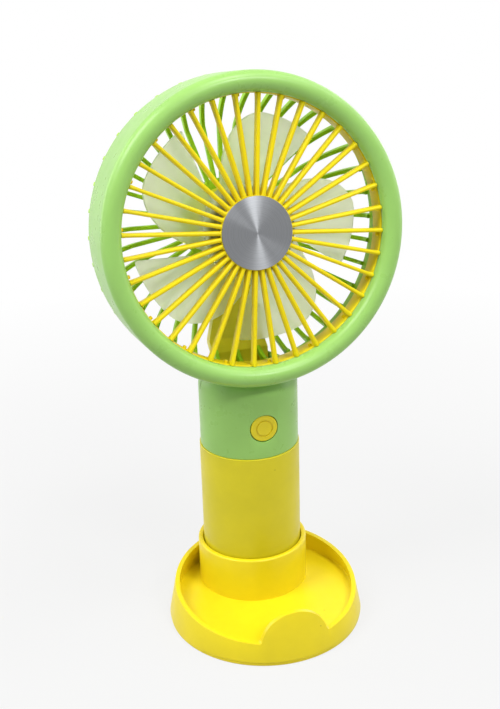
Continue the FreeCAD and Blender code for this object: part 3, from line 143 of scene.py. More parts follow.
# Rear guard, motor mount's foot and impeller
GUARD_BACK = -15.9
GUARD_INSIDE = -13.5
GUARD_PHASE = 8.3
FLAT_STOPS = (15.4, 20, 26, 31, 34.5)   # radii along the flat part of a rib
BOWL_START = 36.0           # radius where the flat ribs begin to bend
BOWL_ARC = 33.0
BOWL_EDGE = (54.3, 2.8)
BOWL_INNER_EDGE = (50.4, 0.9)
GUARD_RIB_HALF = 0.75
GUARD_RING_BORE, GUARD_RING_RADIUS = 51.4, 52.1
GUARD_RING_BACK, GUARD_RING_FRONT = 3.6, 10.6
GUARD_HUB_RADIUS = 16.4
POST_RADIUS = 2.8
POST_TOP = -12.55
BRIDGE_HALF = 13.05
BRIDGE_LOW, BRIDGE_HIGH = -36.0, -33.6
SADDLE_BACK = -16.2         # the neck's roof stays 0.3 outside the bowl
SADDLE_EDGE = (54.6, 2.5)
FOOT_ROOM = 11.05           # half the width left for the motor mount's foot
FOOT_FRONT = -4.2
STEM_BACK, STEM_FRONT = -9.3, 2.6
FOOT_ANGLES = (250, 290)    # ribs between these end at the bridge
GUARD_SCREW_REACH = 7
GUARD_SCREW_ANGLES = (90, 210, 330)
IMPELLER_RADIUS = 16.4
IMPELLER_BORE = 15.1
IMPELLER_FOOT = 8.1
IMPELLER_ROOF = 18.3
IMPELLER_TOP = 19.6
IMPELLER_EDGE = 2.0
BLADE_COUNT = 5
BLADE_PHASE = 80
BLADE_ROOT = 10.0
BLADE_REACH = 40.7
BLADE_CORNER = 33.5         # angle of the trailing corner at the tip
BLADE_THICKNESS = 1.1
BLADE_EDGE = 0.4
LEAD_RUN = 18.7             # the leading edge bends back over this length
LEAD_HEIGHT = 14.6
LEAD_SHIFT = -2.0
TRAIL_START = 1.0
LIFT_BASE = (11.0, 17.4)    # (across, height) that the pitch turns about
ROOT_PITCH, TIP_PITCH = 0.45, 0.235


# Points

def polar(radius, degrees):
    angle = math.radians(degrees)
    return radius * math.cos(angle), radius * math.sin(angle)


def arc_points(x, y, radius, start, end, steps):
    """Points on an arc."""
    arms = [polar(radius, start + (end - start) * k / steps) for k in range(steps + 1)]
    return [(x + across, y + along) for across, along in arms]


def circle_points(radius, x, y, count):
    return arc_points(x, y, radius, 0, 360, count)[:-1]


def swept_points(centre, arm, sweep, steps):
    """Points that the end of an arm passes as it turns by sweep, in radians."""
    points = []
    for k in range(steps + 1):
        cosine, sine = math.cos(sweep * k / steps), math.sin(sweep * k / steps)
        points.append((centre.x + arm.x * cosine - arm.y * sine,
                       centre.y + arm.x * sine + arm.y * cosine))
    return points


def rounded(points, radii, steps=4):
    """Closed outline with its corners rounded. radii is one number or one for each corner."""
    count = len(points)
    if not isinstance(radii, list):
        radii = [radii] * count
    result = []
    for number, point in enumerate(points):
        radius = radii[number]
        if radius <= 0:
            result.append(tuple(Vector(point)))
            continue
        corner = Vector(point)
        before = Vector(points[number - 1]) - corner
        after = Vector(points[(number + 1) % count]) - corner
        turn = before.angle(after)
        reach = radius / math.tan(turn / 2)
        limit = min(before.length, after.length) * 0.49
        if reach > limit:
            radius *= limit / reach
            reach = limit
        start = corner + before.normalized() * reach
        end = corner + after.normalized() * reach
        middle = (before.normalized() + after.normalized()).normalized()
        centre = corner + middle * (radius / math.sin(turn / 2))
        first, last = start - centre, end - centre
        side = 1 if first.x * last.y - first.y * last.x > 0 else -1
        result += swept_points(centre, first, side * first.angle(last), steps)
    return result


def bowl_curve(start, end, radius, steps):
    """Arc that bulges away from the head's axis, between two (radius, height) points."""
    start, end = Vector(start), Vector(end)
    chord = end - start
    left = Vector((-chord.y, chord.x)).normalized()
    centre = (start + end) / 2 + left * math.sqrt(radius ** 2 - (chord.length / 2) ** 2)
    first, last = start - centre, end - centre
    return swept_points(centre, first, first.angle(last), steps)


# Meshes

@contextmanager
def edited(mesh):
    """A bmesh copy of a mesh, written back at the end."""
    work = bmesh.new()
    work.from_mesh(mesh)
    yield work
    work.to_mesh(mesh)
    work.free()


def sharpen(mesh, degrees):
    """Smooth shading, with edges kept sharp where faces meet at more than this angle."""
    limit = math.radians(degrees)
    with edited(mesh) as work:
        for edge in work.edges:
            edge.smooth = len(edge.link_faces) == 2 and edge.calc_face_angle(0) < limit
        for face in work.faces:
            face.smooth = True


def placed(name, mesh, matrix=None):
    """Object in the scene with this mesh."""
    made = bpy.data.objects.new(name, mesh)
    SCENE.collection.objects.link(made)
    if matrix is not None:
        made.matrix_world = matrix
    return made


def make_object(name, verts, faces, matrix=None):
    """Object from points in millimetres."""
    mesh = bpy.data.meshes.new(name)
    mesh.from_pydata([tuple(c * MM for c in vert) for vert in verts], [], faces)
    with edited(mesh) as work:
        bmesh.ops.remove_doubles(work, verts=work.verts, dist=SAME_POINT)
        bmesh.ops.recalc_face_normals(work, faces=work.faces)
        for face in work.faces:
            face.smooth = True
    return placed(name, mesh, matrix)


def lathe(name, outline, segments=256, matrix=None):
    """Solid of revolution from a closed outline of (radius, height) points."""
    verts, faces, rows = [], [], []
    for radius, height in outline:
        if radius == 0:
            rows.append([len(verts)] * segments)
            verts.append((0, 0, height))
            continue
        row = []
        for k in range(segments):
            angle = 2 * math.pi * k / segments
            row.append(len(verts))
            verts.append((radius * math.cos(angle), radius * math.sin(angle), height))
        rows.append(row)
    for number, low in enumerate(rows):
        high = rows[(number + 1) % len(rows)]
        for k in range(segments):
            following = (k + 1) % segments
            face = list(dict.fromkeys((low[k], low[following], high[following], high[k])))
            if len(face) > 2:
                faces.append(face)
    return make_object(name, verts, faces, matrix)


def cylinder(name, radius, low, high, segments, matrix=None):
    return lathe(name, [(0, low), (radius, low), (radius, high), (0, high)], segments, matrix)


def box(name, low, high, matrix=None):
    x0, y0, z0 = low
    x1, y1, z1 = high
    verts = [(x0, y0, z0), (x1, y0, z0), (x1, y1, z0), (x0, y1, z0),
             (x0, y0, z1), (x1, y0, z1), (x1, y1, z1), (x0, y1, z1)]
    faces = [(0, 3, 2, 1), (4, 5, 6, 7), (0, 1, 5, 4), (1, 2, 6, 5), (2, 3, 7, 6), (3, 0, 4, 7)]
    return make_object(name, verts, faces, matrix)


def loft(name, rings, matrix=None):
    """Solid through rings of points that all have the same count."""
    verts = [point for ring in rings for point in ring]
    count = len(rings[0])
    faces = []
    for number in range(len(rings) - 1):
        for k in range(count):
            following = (k + 1) % count
            faces.append((number * count + k, number * count + following,
                          (number + 1) * count + following, (number + 1) * count + k))
    faces.append(tuple(reversed(range(count))))
    faces.append(tuple((len(rings) - 1) * count + k for k in range(count)))
    return make_object(name, verts, faces, matrix)


def along_y(name, outline, back, front):
    """Cutter along Y, through an outline of (x, z) points in the handle's frame."""
    return loft(name, [[(x, y, z) for x, z in outline] for y in (back, front)], HANDLE)


def join(name, parts):
    """One object from several, whose meshes are all read in the first one's frame."""
    whole = bmesh.new()
    for part in parts:
        whole.from_mesh(part.data)
    mesh = bpy.data.meshes.new(name)
    whole.to_mesh(mesh)
    whole.free()
    made = placed(name, mesh, parts[0].matrix_world.copy())
    for part in parts:
        bpy.data.objects.remove(part)
    return made


def turned_copy(part, degrees):
    """Copy of a part, turned round +Z."""
    mesh = part.data.copy()
    mesh.transform(Matrix.Rotation(math.radians(degrees), 4, "Z"))
    return placed(part.name, mesh)


def copies_round(name, part, count, phase):
    """A part repeated round the head's axis."""
    copies = [turned_copy(part, phase + 360 * number / count) for number in range(count)]
    bpy.data.objects.remove(part)
    made = join(name, copies)
    made.matrix_world = HEAD
    return made


def applied(made):
    """Replace an object's mesh by what its modifiers make of it."""
    bpy.context.view_layer.update()
    graph = bpy.context.evaluated_depsgraph_get()
    mesh = bpy.data.meshes.new_from_object(made.evaluated_get(graph))
    made.modifiers.clear()
    made.data = mesh


def boolean(made, cutter, operation="DIFFERENCE"):
    """Cut an object with a second one, which is used up."""
    step = made.modifiers.new("cut", "BOOLEAN")
    step.object = cutter
    step.operation = operation
    step.solver = "EXACT"
    applied(made)
    bpy.data.objects.remove(cutter)


def weld(made, distance):
    """Join the near points that a cut leaves."""
    reach = distance * MM
    with edited(made.data) as work:
        bmesh.ops.remove_doubles(work, verts=work.verts, dist=reach)
        bmesh.ops.dissolve_degenerate(work, dist=reach * 0.2, edges=work.edges)


def bevel(made, width, degrees):
    """Round the edges where faces meet at more than this angle."""
    step = made.modifiers.new("bevel", "BEVEL")
    step.width = width * MM
    step.segments = 3
    step.limit_method = "ANGLE"
    step.angle_limit = math.radians(degrees)
    applied(made)


# Materials

def linear(red, green, blue):
    """Colour from its 0-255 values on screen."""
    def channel(value):
        value /= 255
        return value / 12.92 if value <= 0.04045 else ((value + 0.055) / 1.055) ** 2.4
    return (channel(red), channel(green), channel(blue), 1.0)


def shade(colour, factor):
    return tuple(min(1.0, c * factor) for c in colour[:3]) + (1.0,)


class Nodes:
    """Short way to build the nodes of a material or of the world."""

    def __init__(self, owner):
        owner.use_nodes = True
        self.owner = owner
        self.tree = owner.node_tree

    def put(self, node, **values):
        """Fill a node's inputs with numbers, colours or other nodes' outputs.

        An underscore stands for a space, and input_0 for the first input.
        """
        for key, value in values.items():
            number = key.removeprefix("input_")
            name = int(number) if number != key else key.replace("_", " ")
            if isinstance(value, bpy.types.NodeSocket):
                self.tree.links.new(value, node.inputs[name])
            else:
                node.inputs[name].default_value = value

    def surface(self, **values):
        self.put(self.tree.nodes["Principled BSDF"], **values)

    def add(self, kind, **settings):
        node = self.tree.nodes.new("ShaderNode" + kind)
        for key, value in settings.items():
            setattr(node, key, value)
        return node

    def place(self):
        return self.add("TexCoord").outputs["Object"]

    def noise(self, place, scale, detail, roughness=0.5):
        node = self.add("TexNoise")
        self.put(node, Vector=place, Scale=scale, Detail=detail, Roughness=roughness)
        return node.outputs["Fac"]

    def band(self, value, low, high, to_low, to_high):
        node = self.add("MapRange")
        self.put(node, Value=value, From_Min=low, From_Max=high, To_Min=to_low, To_Max=to_high)
        return node.outputs["Result"]

    def spread(self, noise, low=0.0, high=1.0):
        """A noise's usual values, 0.3 to 0.7, stretched to these limits."""
        return self.band(noise, 0.3, 0.7, low, high)

    def mix(self, share, first, second):
        node = self.add("Mix", data_type="RGBA")
        self.put(node, Factor=share, A=first, B=second)
        return node.outputs["Result"]

    def math(self, operation, first, second):
        node = self.add("Math", operation=operation)
        self.put(node, input_0=first, input_1=second)
        return node.outputs["Value"]

    def length(self, vector):
        node = self.add("VectorMath", operation="LENGTH")
        self.put(node, input_0=vector)
        return node.outputs["Value"]

    def bump(self, height, distance, strength):
        node = self.add("Bump")
        self.put(node, Height=height, Distance=distance, Strength=strength)
        self.surface(Normal=node.outputs["Normal"])

    def seen_directly(self):
        """1 for rays from the camera, mirrored rays and rays through clear pieces."""
        path = self.add("LightPath").outputs
        bent = self.math("MAXIMUM", path["Is Glossy Ray"], path["Is Transmission Ray"])
        return self.math("MAXIMUM", path["Is Camera Ray"], bent)


def plastic(name, colour, roughness, specks=0.0, grain=0.00002, glow=0.0, gloss_level=0.4):
    """Moulded plastic: faint mottling, uneven gloss, fine texture and a few dirt specks."""
    n = Nodes(bpy.data.materials.new(name))
    place = n.place()
    mottle = n.noise(place, scale=55, detail=4, roughness=0.6)
    base = n.mix(n.spread(mottle), shade(colour, 0.95), shade(colour, 1.05))
    if specks > 0:
        cells = n.add("TexVoronoi", feature="F1")
        n.put(cells, Vector=place, Scale=420)
        spot = n.band(cells.outputs["Distance"], 0.06, 0.11, 1.0, 0.0)
        pick = n.add("TexWhiteNoise", noise_dimensions="3D")
        n.put(pick, Vector=cells.outputs["Position"])
        rare = n.math("GREATER_THAN", pick.outputs["Value"], 1.0 - specks)
        base = n.mix(n.math("MULTIPLY", spot, rare), base, shade(colour, 0.45))
    gloss = n.noise(place, scale=160, detail=3, roughness=0.6)
    n.surface(Base_Color=base, Roughness=n.spread(gloss, roughness - 0.05, roughness + 0.07),
              IOR=1.47, Specular_IOR_Level=gloss_level)
    if glow > 0:
        n.surface(Subsurface_Weight=glow, Subsurface_Radius=(0.0016, 0.0014, 0.0006),
                  Subsurface_Scale=1.0)
    n.bump(n.noise(place, scale=2600, detail=2), grain, 0.6)
    return n.owner


def metal(name, colour, roughness):
    """Bare metal with fine streaks."""
    n = Nodes(bpy.data.materials.new(name))
    stretch = n.add("Mapping")
    n.put(stretch, Vector=n.place(), Scale=(1, 1, 8))
    streaks = n.noise(stretch.outputs["Vector"], scale=900, detail=4, roughness=0.7)
    n.surface(Base_Color=n.mix(n.spread(streaks), shade(colour, 0.85), shade(colour, 1.1)),
              Roughness=n.spread(streaks, roughness - 0.08, roughness + 0.1), Metallic=1.0)
    n.bump(streaks, 0.00001, 0.5)
    return n.owner


def spun_metal(name, colour, groove=0.00032):
    """Disc turned on a lathe: fine rings that spread the highlight into two fans."""
    n = Nodes(bpy.data.materials.new(name))
    flat = n.add("VectorMath", operation="MULTIPLY")
    n.put(flat, input_0=n.place(), input_1=(1, 1, 0))
    reach = n.length(flat.outputs["Vector"])
    turns = n.add("Math", operation="SINE")
    n.put(turns, input_0=n.math("MULTIPLY", reach, 2 * math.pi / groove))
    uneven = n.add("TexNoise", noise_dimensions="1D")
    n.put(uneven, W=reach, Scale=3800, Detail=4)
    uneven = uneven.outputs["Fac"]
    tangent = n.add("Tangent", direction_type="RADIAL", axis="Z")
    n.surface(Base_Color=n.mix(n.spread(uneven), shade(colour, 0.86), shade(colour, 1.08)),
              Metallic=1.0, Roughness=n.spread(uneven, 0.38, 0.50), Anisotropic=0.95,
              Anisotropic_Rotation=0.25, Tangent=tangent.outputs["Tangent"])
    n.bump(n.math("ADD", turns.outputs["Value"], uneven), 0.000006, 0.35)
    return n.owner


def frosted_plastic(name, colour, through, roughness):
    """Tinted frosted plastic: light comes through it, shapes behind it are blurred."""
    n = Nodes(bpy.data.materials.new(name))
    place = n.place()
    cloud = n.noise(place, scale=70, detail=3)
    frost = n.noise(place, scale=300, detail=2)
    n.surface(Base_Color=n.mix(n.spread(cloud), shade(colour, 0.97), shade(colour, 1.03)),
              Roughness=n.spread(frost, roughness - 0.04, roughness + 0.06),
              Transmission_Weight=through, IOR=1.2)
    return n.owner


LOOKS = {
    "base_yellow": (plastic, (233, 212, 24), dict(roughness=0.34, specks=0.012, glow=0.05)),
    "grip_yellow": (plastic, (210, 197, 26), dict(roughness=0.34, specks=0.012, glow=0.05)),
    "case_green": (plastic, (151, 200, 103), dict(roughness=0.30, specks=0.006, glow=0.05)),
    "grille_yellow": (plastic, (238, 216, 22), dict(roughness=0.34, glow=0.05, gloss_level=0.2)),
    "guard_green": (plastic, (172, 222, 40), dict(roughness=0.40, glow=0.05, gloss_level=0.25)),
    "bracket_yellow": (plastic, (246, 228, 52), dict(roughness=0.34, glow=0.05)),
    "button_yellow": (plastic, (226, 208, 32), dict(roughness=0.36, glow=0.05)),
    "disc_aluminium": (spun_metal, (142, 144, 147), {}),
    "blade_clear": (frosted_plastic, (246, 252, 230), dict(through=0.75, roughness=0.5)),
    "screw_steel": (metal, (190, 190, 188), dict(roughness=0.35)),
    "motor_steel": (metal, (150, 150, 155), dict(roughness=0.4)),
    "magnet_dark": (plastic, (46, 46, 48), dict(roughness=0.6)),
    "bearing_brass": (metal, (200, 160, 92), dict(roughness=0.4)),
    "copper_wire": (metal, (196, 110, 60), dict(roughness=0.35)),
    "board_green": (plastic, (24, 96, 48), dict(roughness=0.45)),
    "black_plastic": (plastic, (34, 34, 36), dict(roughness=0.5)),
    "lens_clear": (frosted_plastic, (236, 236, 236), dict(through=0.5, roughness=0.2)),
    "cell_wrap": (plastic, (52, 110, 168), dict(roughness=0.3)),
    "foam_grey": (plastic, (84, 84, 86), dict(roughness=0.9, grain=0.0001)),
    "cable_red": (plastic, (170, 34, 28), dict(roughness=0.45)),
    "white_plastic": (plastic, (228, 226, 218), dict(roughness=0.45)),
    "port_steel": (metal, (205, 205, 208), dict(roughness=0.25)),
}
MATERIALS = {name: make(name, linear(*colour), **look)
             for name, (make, colour, look) in LOOKS.items()}

SLOT_OF = {entry["node"]: entry["material_slot"] for entry in frame["record"]["subparts"]}
for node_name, node_object in frame["nodes"].items():
    node_object.data.materials.clear()
    node_object.data.materials.append(MATERIALS[SLOT_OF[node_name]])
    sharpen(node_object.data, 28)


def settle(made):
    """Move an object's placement into its mesh."""
    made.data.transform(made.matrix_world)
    made.matrix_world = Matrix.Identity(4)
    return made


def finish(made, body, slot, node, degrees=35):
    """Give a piece its material and its body, and hide the CAD node that it stands for."""
    if slot != "disc_aluminium":    # the disc's rings need its own axis
        settle(made)
    sharpen(made.data, degrees)
    made.data.materials.clear()
    made.data.materials.append(MATERIALS[slot])
    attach(made, body)
    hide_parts(node)


# Desk base

def skirt_radius(height):
    return BASE_RADIUS - math.tan(math.radians(SKIRT_ANGLE)) * height


def rim_level(y):
    return RIM_MIDDLE + math.tan(math.radians(RIM_SLOPE)) * y


def rim_cutter_section(y, reach):
    """What is cut away at this depth: all above the rim, but not the tab with its fillets."""
    rim = rim_level(y)
    rise = rim + TAB_FILLET - TAB_CENTRE
    across = math.sqrt((TAB_RADIUS + TAB_FILLET) ** 2 - rise * rise)
    turn = math.degrees(math.atan2(rise, across))
    fillet = arc_points(-across, rim + TAB_FILLET, TAB_FILLET, -90, -turn, 8)
    crest = arc_points(0, TAB_CENTRE, TAB_RADIUS, 180 - turn, turn, 60)
    points = [(-reach, rim)] + fillet + crest[1:-1] + [(-x, z) for x, z in reversed(fillet)]
    points += [(reach, rim), (reach, reach), (-reach, reach)]
    return [(x, y, z) for x, z in points]


def make_tray():
    """Conical skirt with a slanted rim and a round tab, flat tray floor and socket tube."""
    foot, top, floor, under = SKIRT_FOOT, BLANK_TOP, TRAY_FLOOR, TRAY_FLOOR - 2
    inner_top = (skirt_radius(top) - TRAY_WALL, top)
    outline = [(skirt_radius(foot) - 0.2, foot), (skirt_radius(foot), foot + 0.25),
               (skirt_radius(top), top), inner_top]
    outline += rounded([inner_top, (skirt_radius(floor) - TRAY_WALL, floor), (0, floor)],
                       [0, 0.5, 0])[1:]
    outline += [(0, under), (skirt_radius(under) - TRAY_WALL, under),
                (skirt_radius(foot) - TRAY_WALL, foot)]
    skirt = lathe("skirt", outline, 360)
    reach = 60
    depths = (-reach, -45, -40, -38, -37, -36, -35, -34, -33, -32, -31, -30, -25, -15, 0)
    boolean(skirt, loft("front_cutter", [rim_cutter_section(y, reach) for y in depths]))
    boolean(skirt, loft("rear_cutter", [
        [(-reach, y, rim_level(y)), (reach, y, rim_level(y)), (reach, y, reach),
         (-reach, y, reach)] for y in (-0.001, reach)]))
    weld(skirt, 0.06)
    bevel(skirt, 0.42, 40)

    tube = lathe("socket", rounded(
        [(SOCKET_RADIUS, floor - 1), (SOCKET_RADIUS, SOCKET_TOP), (SOCKET_BORE, SOCKET_TOP),
         (SOCKET_BORE, SOCKET_FLOOR), (0, SOCKET_FLOOR), (0, SOCKET_UNDERSIDE),
         (SOCKET_RADIUS, SOCKET_UNDERSIDE)], [0, 0.7, 0.45, 0.3, 0, 0, 0]), 256, HANDLE)
    boolean(skirt, cylinder("bore", SOCKET_RADIUS - 1, 3.0, 40, 128, HANDLE))
    tray = join("base_tray_fine", [skirt, settle(tube)])
    finish(tray, "base", "base_yellow", "base_tray")


def make_plate():
    """Round plate under the skirt, with a pocket for each screw."""
    plate = lathe("base_bottom_fine", rounded(
        [(0, 0), (PLATE_RADIUS, 0), (PLATE_RADIUS, SKIRT_FOOT), (0, SKIRT_FOOT)],
        [0, 0.4, 0.2, 0]))
    for angle in BASE_SCREW_ANGLES:
        x, y = polar(BASE_SCREW_REACH, angle)
        spot = Matrix.Translation((x * MM, y * MM, 0))
        boolean(plate, cylinder("pocket", BASE_SCREW_POCKET, -1, BASE_SCREW_SINK, 48, spot))
    finish(plate, "base", "base_yellow", "base_bottom_plate")


# Handle

def make_sleeve():
    """Grip tube with a closed foot."""
    outline = rounded([(0, SLEEVE_FOOT), (SLEEVE_RADIUS, SLEEVE_FOOT), (SLEEVE_RADIUS, SLEEVE_TOP),
                       (SLEEVE_BORE, SLEEVE_TOP), (SLEEVE_BORE, SLEEVE_FLOOR), (0, SLEEVE_FLOOR)],
                      [0, 1.2, 0.3, 0.25, 0, 0], 5)
    finish(lathe("grip_sleeve_fine", outline, 256, HANDLE), "fan", "grip_yellow", "grip_sleeve")


def make_neck():
    """Two half shells under a roof that the bowl of rear ribs hollows out."""
    crown = arc_points(NECK_RADIUS - NECK_SHOULDER, NECK_TOP - NECK_SHOULDER, NECK_SHOULDER,
                       0, 90, 16)
    outline = [(SPIGOT_BORE, SPIGOT_FOOT), (17.05, SPIGOT_FOOT), (SPIGOT_RADIUS, 58.5),
               (SPIGOT_RADIUS, SLEEVE_TOP), (NECK_RADIUS - 0.25, SLEEVE_TOP),
               (NECK_RADIUS, SLEEVE_TOP + 0.25)]
    outline += crown + [(0, NECK_TOP), (0, NECK_ROOF), (NECK_BORE, NECK_ROOF),
                        (NECK_BORE, NECK_LEDGE), (SPIGOT_BORE, SPIGOT_TOP)]
    whole = lathe("neck", outline, 256, HANDLE)
    saddle = [(0, SADDLE_BACK)] + bowl_curve((BOWL_START, SADDLE_BACK), SADDLE_EDGE, BOWL_ARC, 40)
    saddle += [(SADDLE_EDGE[0], 45), (0, 45)]
    boolean(whole, lathe("saddle", saddle, 360, HEAD))
    stem = box("stem_room", (-FOOT_ROOM, -75, STEM_BACK), (FOOT_ROOM, -44, STEM_FRONT), HEAD)
    boolean(stem, cylinder("roof_zone", NECK_BORE, 92.0, 101, 192, HANDLE), "INTERSECT")
    boolean(whole, stem)
    halves = []
    for name, low, high in (("neck_front_fine", -40, 0), ("neck_rear_fine", 0, 40)):
        half = placed(name, whole.data.copy(), HANDLE)
        boolean(half, box("side", (-40, low, 40), (40, high, 120), HANDLE), "INTERSECT")
        halves.append(half)
    bpy.data.objects.remove(whole)
    front, rear = halves
    hole = circle_points(BUTTON_HOLE, 0, BUTTON_HEIGHT, 96)
    boolean(front, along_y("button_hole", hole, -30, -8))
    for x in (-NECK_SCREW_X, NECK_SCREW_X):
        hole = circle_points(NECK_SCREW_HOLE, x, NECK_SCREW_HEIGHT, 48)
        boolean(rear, along_y("screw_hole", hole, 11.6, 30))
    port = rounded([(-PORT_HALF_WIDTH, PORT_LOW), (PORT_HALF_WIDTH, PORT_LOW),
                    (PORT_HALF_WIDTH, PORT_HIGH), (-PORT_HALF_WIDTH, PORT_HIGH)], 1.2, 5)
    boolean(rear, along_y("port", port, 14, 30))
    boolean(rear, along_y("lamp", circle_points(LAMP_HOLE, 0, LAMP_HEIGHT, 32), 14, 30))
    for half, node, edge in ((front, "neck_front_shell", 0.3), (rear, "neck_rear_shell", 0.16)):
        weld(half, 0.05)
        bevel(half, edge, 40)
        finish(half, "fan", "case_green", node)


# Ring, front grille and disc

def make_ring():
    """Ring with a full round front and an open back."""
    crown = HEAD_DEPTH - RING_EDGE
    outline = [(RING_RADIUS, 4.6)]
    outline += arc_points(RING_RADIUS - RING_EDGE, crown, RING_EDGE, 0, 180, 28)
    outline += [(RING_MOUTH, crown - 0.8), (RING_MOUTH + 0.2, crown - 1.0),
                (SEAT_BORE, crown - 1.0), (SEAT_BORE, SEAT_BACK), (RING_BORE, SEAT_BACK),
                (RING_BORE, 4.5), (52.5, RING_BACK), (54.0, RING_BACK)]
    finish(lathe("bezel_ring_fine", outline, 360, HEAD), "fan", "case_green", "bezel_ring")


def rib_section(half):
    """Front rib seen end on: straight sides and a full round top."""
    points = [(-half, -GRILLE_RIB_DEPTH), (half, -GRILLE_RIB_DEPTH)]
    points += arc_points(0, -half, half, 0, 180, 6)
    return [(y, z + GRILLE_FRONT) for y, z in points]


def make_grille():
    """Wall with a flange, hub, round ribs that thicken at both ends, and small pegs."""
    wall = lathe("grille_wall", rounded(
        [(WALL_INSIDE, WALL_BACK), (WALL_OUTSIDE, WALL_BACK), (WALL_OUTSIDE, FLANGE_BACK),
         (FLANGE_RADIUS, FLANGE_BACK), (FLANGE_RADIUS, FLANGE_FRONT),
         (WALL_OUTSIDE, FLANGE_FRONT), (WALL_OUTSIDE, WALL_FRONT), (WALL_INSIDE, WALL_FRONT)],
        [0.2, 0.2, 0, 0, 0, 0, 0.2, 0.35], 3), 360, HEAD)
    hub = lathe("grille_hub", rounded(
        [(0, GRILLE_HUB_BACK), (GRILLE_HUB_RADIUS, GRILLE_HUB_BACK),
         (GRILLE_HUB_RADIUS, GRILLE_FRONT), (DISC_POCKET, GRILLE_FRONT),
         (DISC_POCKET, DISC_FLOOR), (0, DISC_FLOOR)], [0, 0.4, 0.06, 0, 0, 0], 3), 192, HEAD)
    rib = loft("rib", [[(radius, y, z) for y, z in rib_section(half)]
                       for radius, half in GRILLE_RIB_WIDTHS])
    ribs = copies_round("ribs", rib, RIB_COUNT, GRILLE_PHASE)
    turns = [2 * math.pi * k / 20 for k in range(20)]
    peg = loft("peg", [[(x, r * math.cos(turn), PEG_LEVEL + r * math.sin(turn))
                        for turn in turns] for x, r in PEG_RADII])
    pegs = copies_round("pegs", peg, PEG_COUNT, PEG_PHASE)
    grille = join("front_grille_fine", [wall, hub, ribs, pegs])
    finish(grille, "fan", "grille_yellow", "front_grille", degrees=50)


def make_disc():
    """Thin disc in the grille's hub, a little higher in the middle."""
    outline = rounded([(0, DISC_BACK), (DISC_RADIUS, DISC_BACK), (DISC_RADIUS, DISC_FRONT),
                       (0, DISC_CROWN)], [0, 0, 0.12, 0])
    finish(lathe("hub_disc_fine", outline, 256, HEAD), "fan", "disc_aluminium", "hub_disc")


# Rear guard and motor mount

def rear_rib():
    """One rib of the bowl, along +X: flat beside the hub, then curving forward to the ring."""
    backs = [(radius, GUARD_BACK) for radius in FLAT_STOPS]
    backs += bowl_curve((BOWL_START, GUARD_BACK), BOWL_EDGE, BOWL_ARC, 24)
    backs += [(BOWL_EDGE[0], 3.8), (54.15, 4.0)]
    fronts = [(radius, GUARD_INSIDE) for radius in FLAT_STOPS]
    fronts += bowl_curve((BOWL_START, GUARD_INSIDE), BOWL_INNER_EDGE, BOWL_ARC, 24)
    fronts += [(BOWL_INNER_EDGE[0], 3.8), (BOWL_INNER_EDGE[0], 4.0)]
    rings = []
    for back, front in zip(backs, fronts):
        back, front = Vector(back), Vector(front)
        along, depth = (front - back).normalized(), (front - back).length
        section = rounded([(0, -GUARD_RIB_HALF), (depth, -GUARD_RIB_HALF),
                           (depth, GUARD_RIB_HALF), (0, GUARD_RIB_HALF)], 0.3, 3)
        rings.append([(back.x + along.x * u, v, back.y + along.y * u) for u, v in section])
    return loft("rear_rib", rings)


def make_guard():
    """Bowl of ribs with its ring, a hub on three posts, and a bridge over the mount's foot."""
    part = rear_rib()
    ribs = []
    for number in range(RIB_COUNT):
        angle = GUARD_PHASE + 360 * number / RIB_COUNT
        rib = turned_copy(part, angle)
        if FOOT_ANGLES[0] < angle % 360 < FOOT_ANGLES[1]:
            boolean(rib, box("foot_room", (-FOOT_ROOM, -60, -20),
                             (FOOT_ROOM, BRIDGE_LOW, FOOT_FRONT)))
        ribs.append(rib)
    bpy.data.objects.remove(part)
    ribs = join("rear_ribs", ribs)
    ribs.matrix_world = HEAD
    hub = lathe("rear_hub", rounded(
        [(0, GUARD_BACK), (GUARD_HUB_RADIUS, GUARD_BACK), (GUARD_HUB_RADIUS, GUARD_INSIDE),
         (0, GUARD_INSIDE)], [0, 0.4, 0.4, 0]), 192, HEAD)
    posts = []
    for angle in GUARD_SCREW_ANGLES:
        x, y = polar(GUARD_SCREW_REACH, angle)
        spot = Matrix.Translation((x * MM, y * MM, 0))
        pit = [(0, -17), (2.5, -17), (2.5, -15.95), (2.2, -15.7), (2.2, -15.1), (0, -15.1)]
        boolean(hub, lathe("pit", pit, 48, HEAD @ spot))
        posts.append(cylinder("post", POST_RADIUS, GUARD_INSIDE - 0.4, POST_TOP, 48))
        posts[-1].data.transform(spot)
    ring = lathe("rear_ring", rounded(
        [(GUARD_RING_BORE, GUARD_RING_BACK), (GUARD_RING_RADIUS, GUARD_RING_BACK),
         (GUARD_RING_RADIUS, GUARD_RING_FRONT), (GUARD_RING_BORE, GUARD_RING_FRONT)],
        0.2, 3), 360, HEAD)
    bar = rounded([(-BRIDGE_HALF, BRIDGE_HIGH), (-BRIDGE_HALF, BRIDGE_LOW),
                   (BRIDGE_HALF, BRIDGE_LOW), (BRIDGE_HALF, BRIDGE_HIGH)], 0.3, 3)
    bridge = loft("bridge", [[(x * width, y, z) for x, y in bar] for z, width in (
        (GUARD_BACK, 0.985), (-15.7, 1), (-13.7, 1), (GUARD_INSIDE, 0.985))])
    guard = join("rear_guard_fine", [ribs, hub, ring, bridge] + posts)
    finish(guard, "fan", "guard_green", "rear_guard", degrees=50)


def make_bracket():
    """The motor mount, column and foot with their edges rounded."""
    source = frame["nodes"]["motor_bracket"]
    made = placed("motor_bracket_fine", source.data.copy(), source.matrix_world.copy())
    weld(made, 0.02)
    bevel(made, 0.35, 30)
    finish(made, "fan", "bracket_yellow", "motor_bracket", degrees=50)


# Impeller

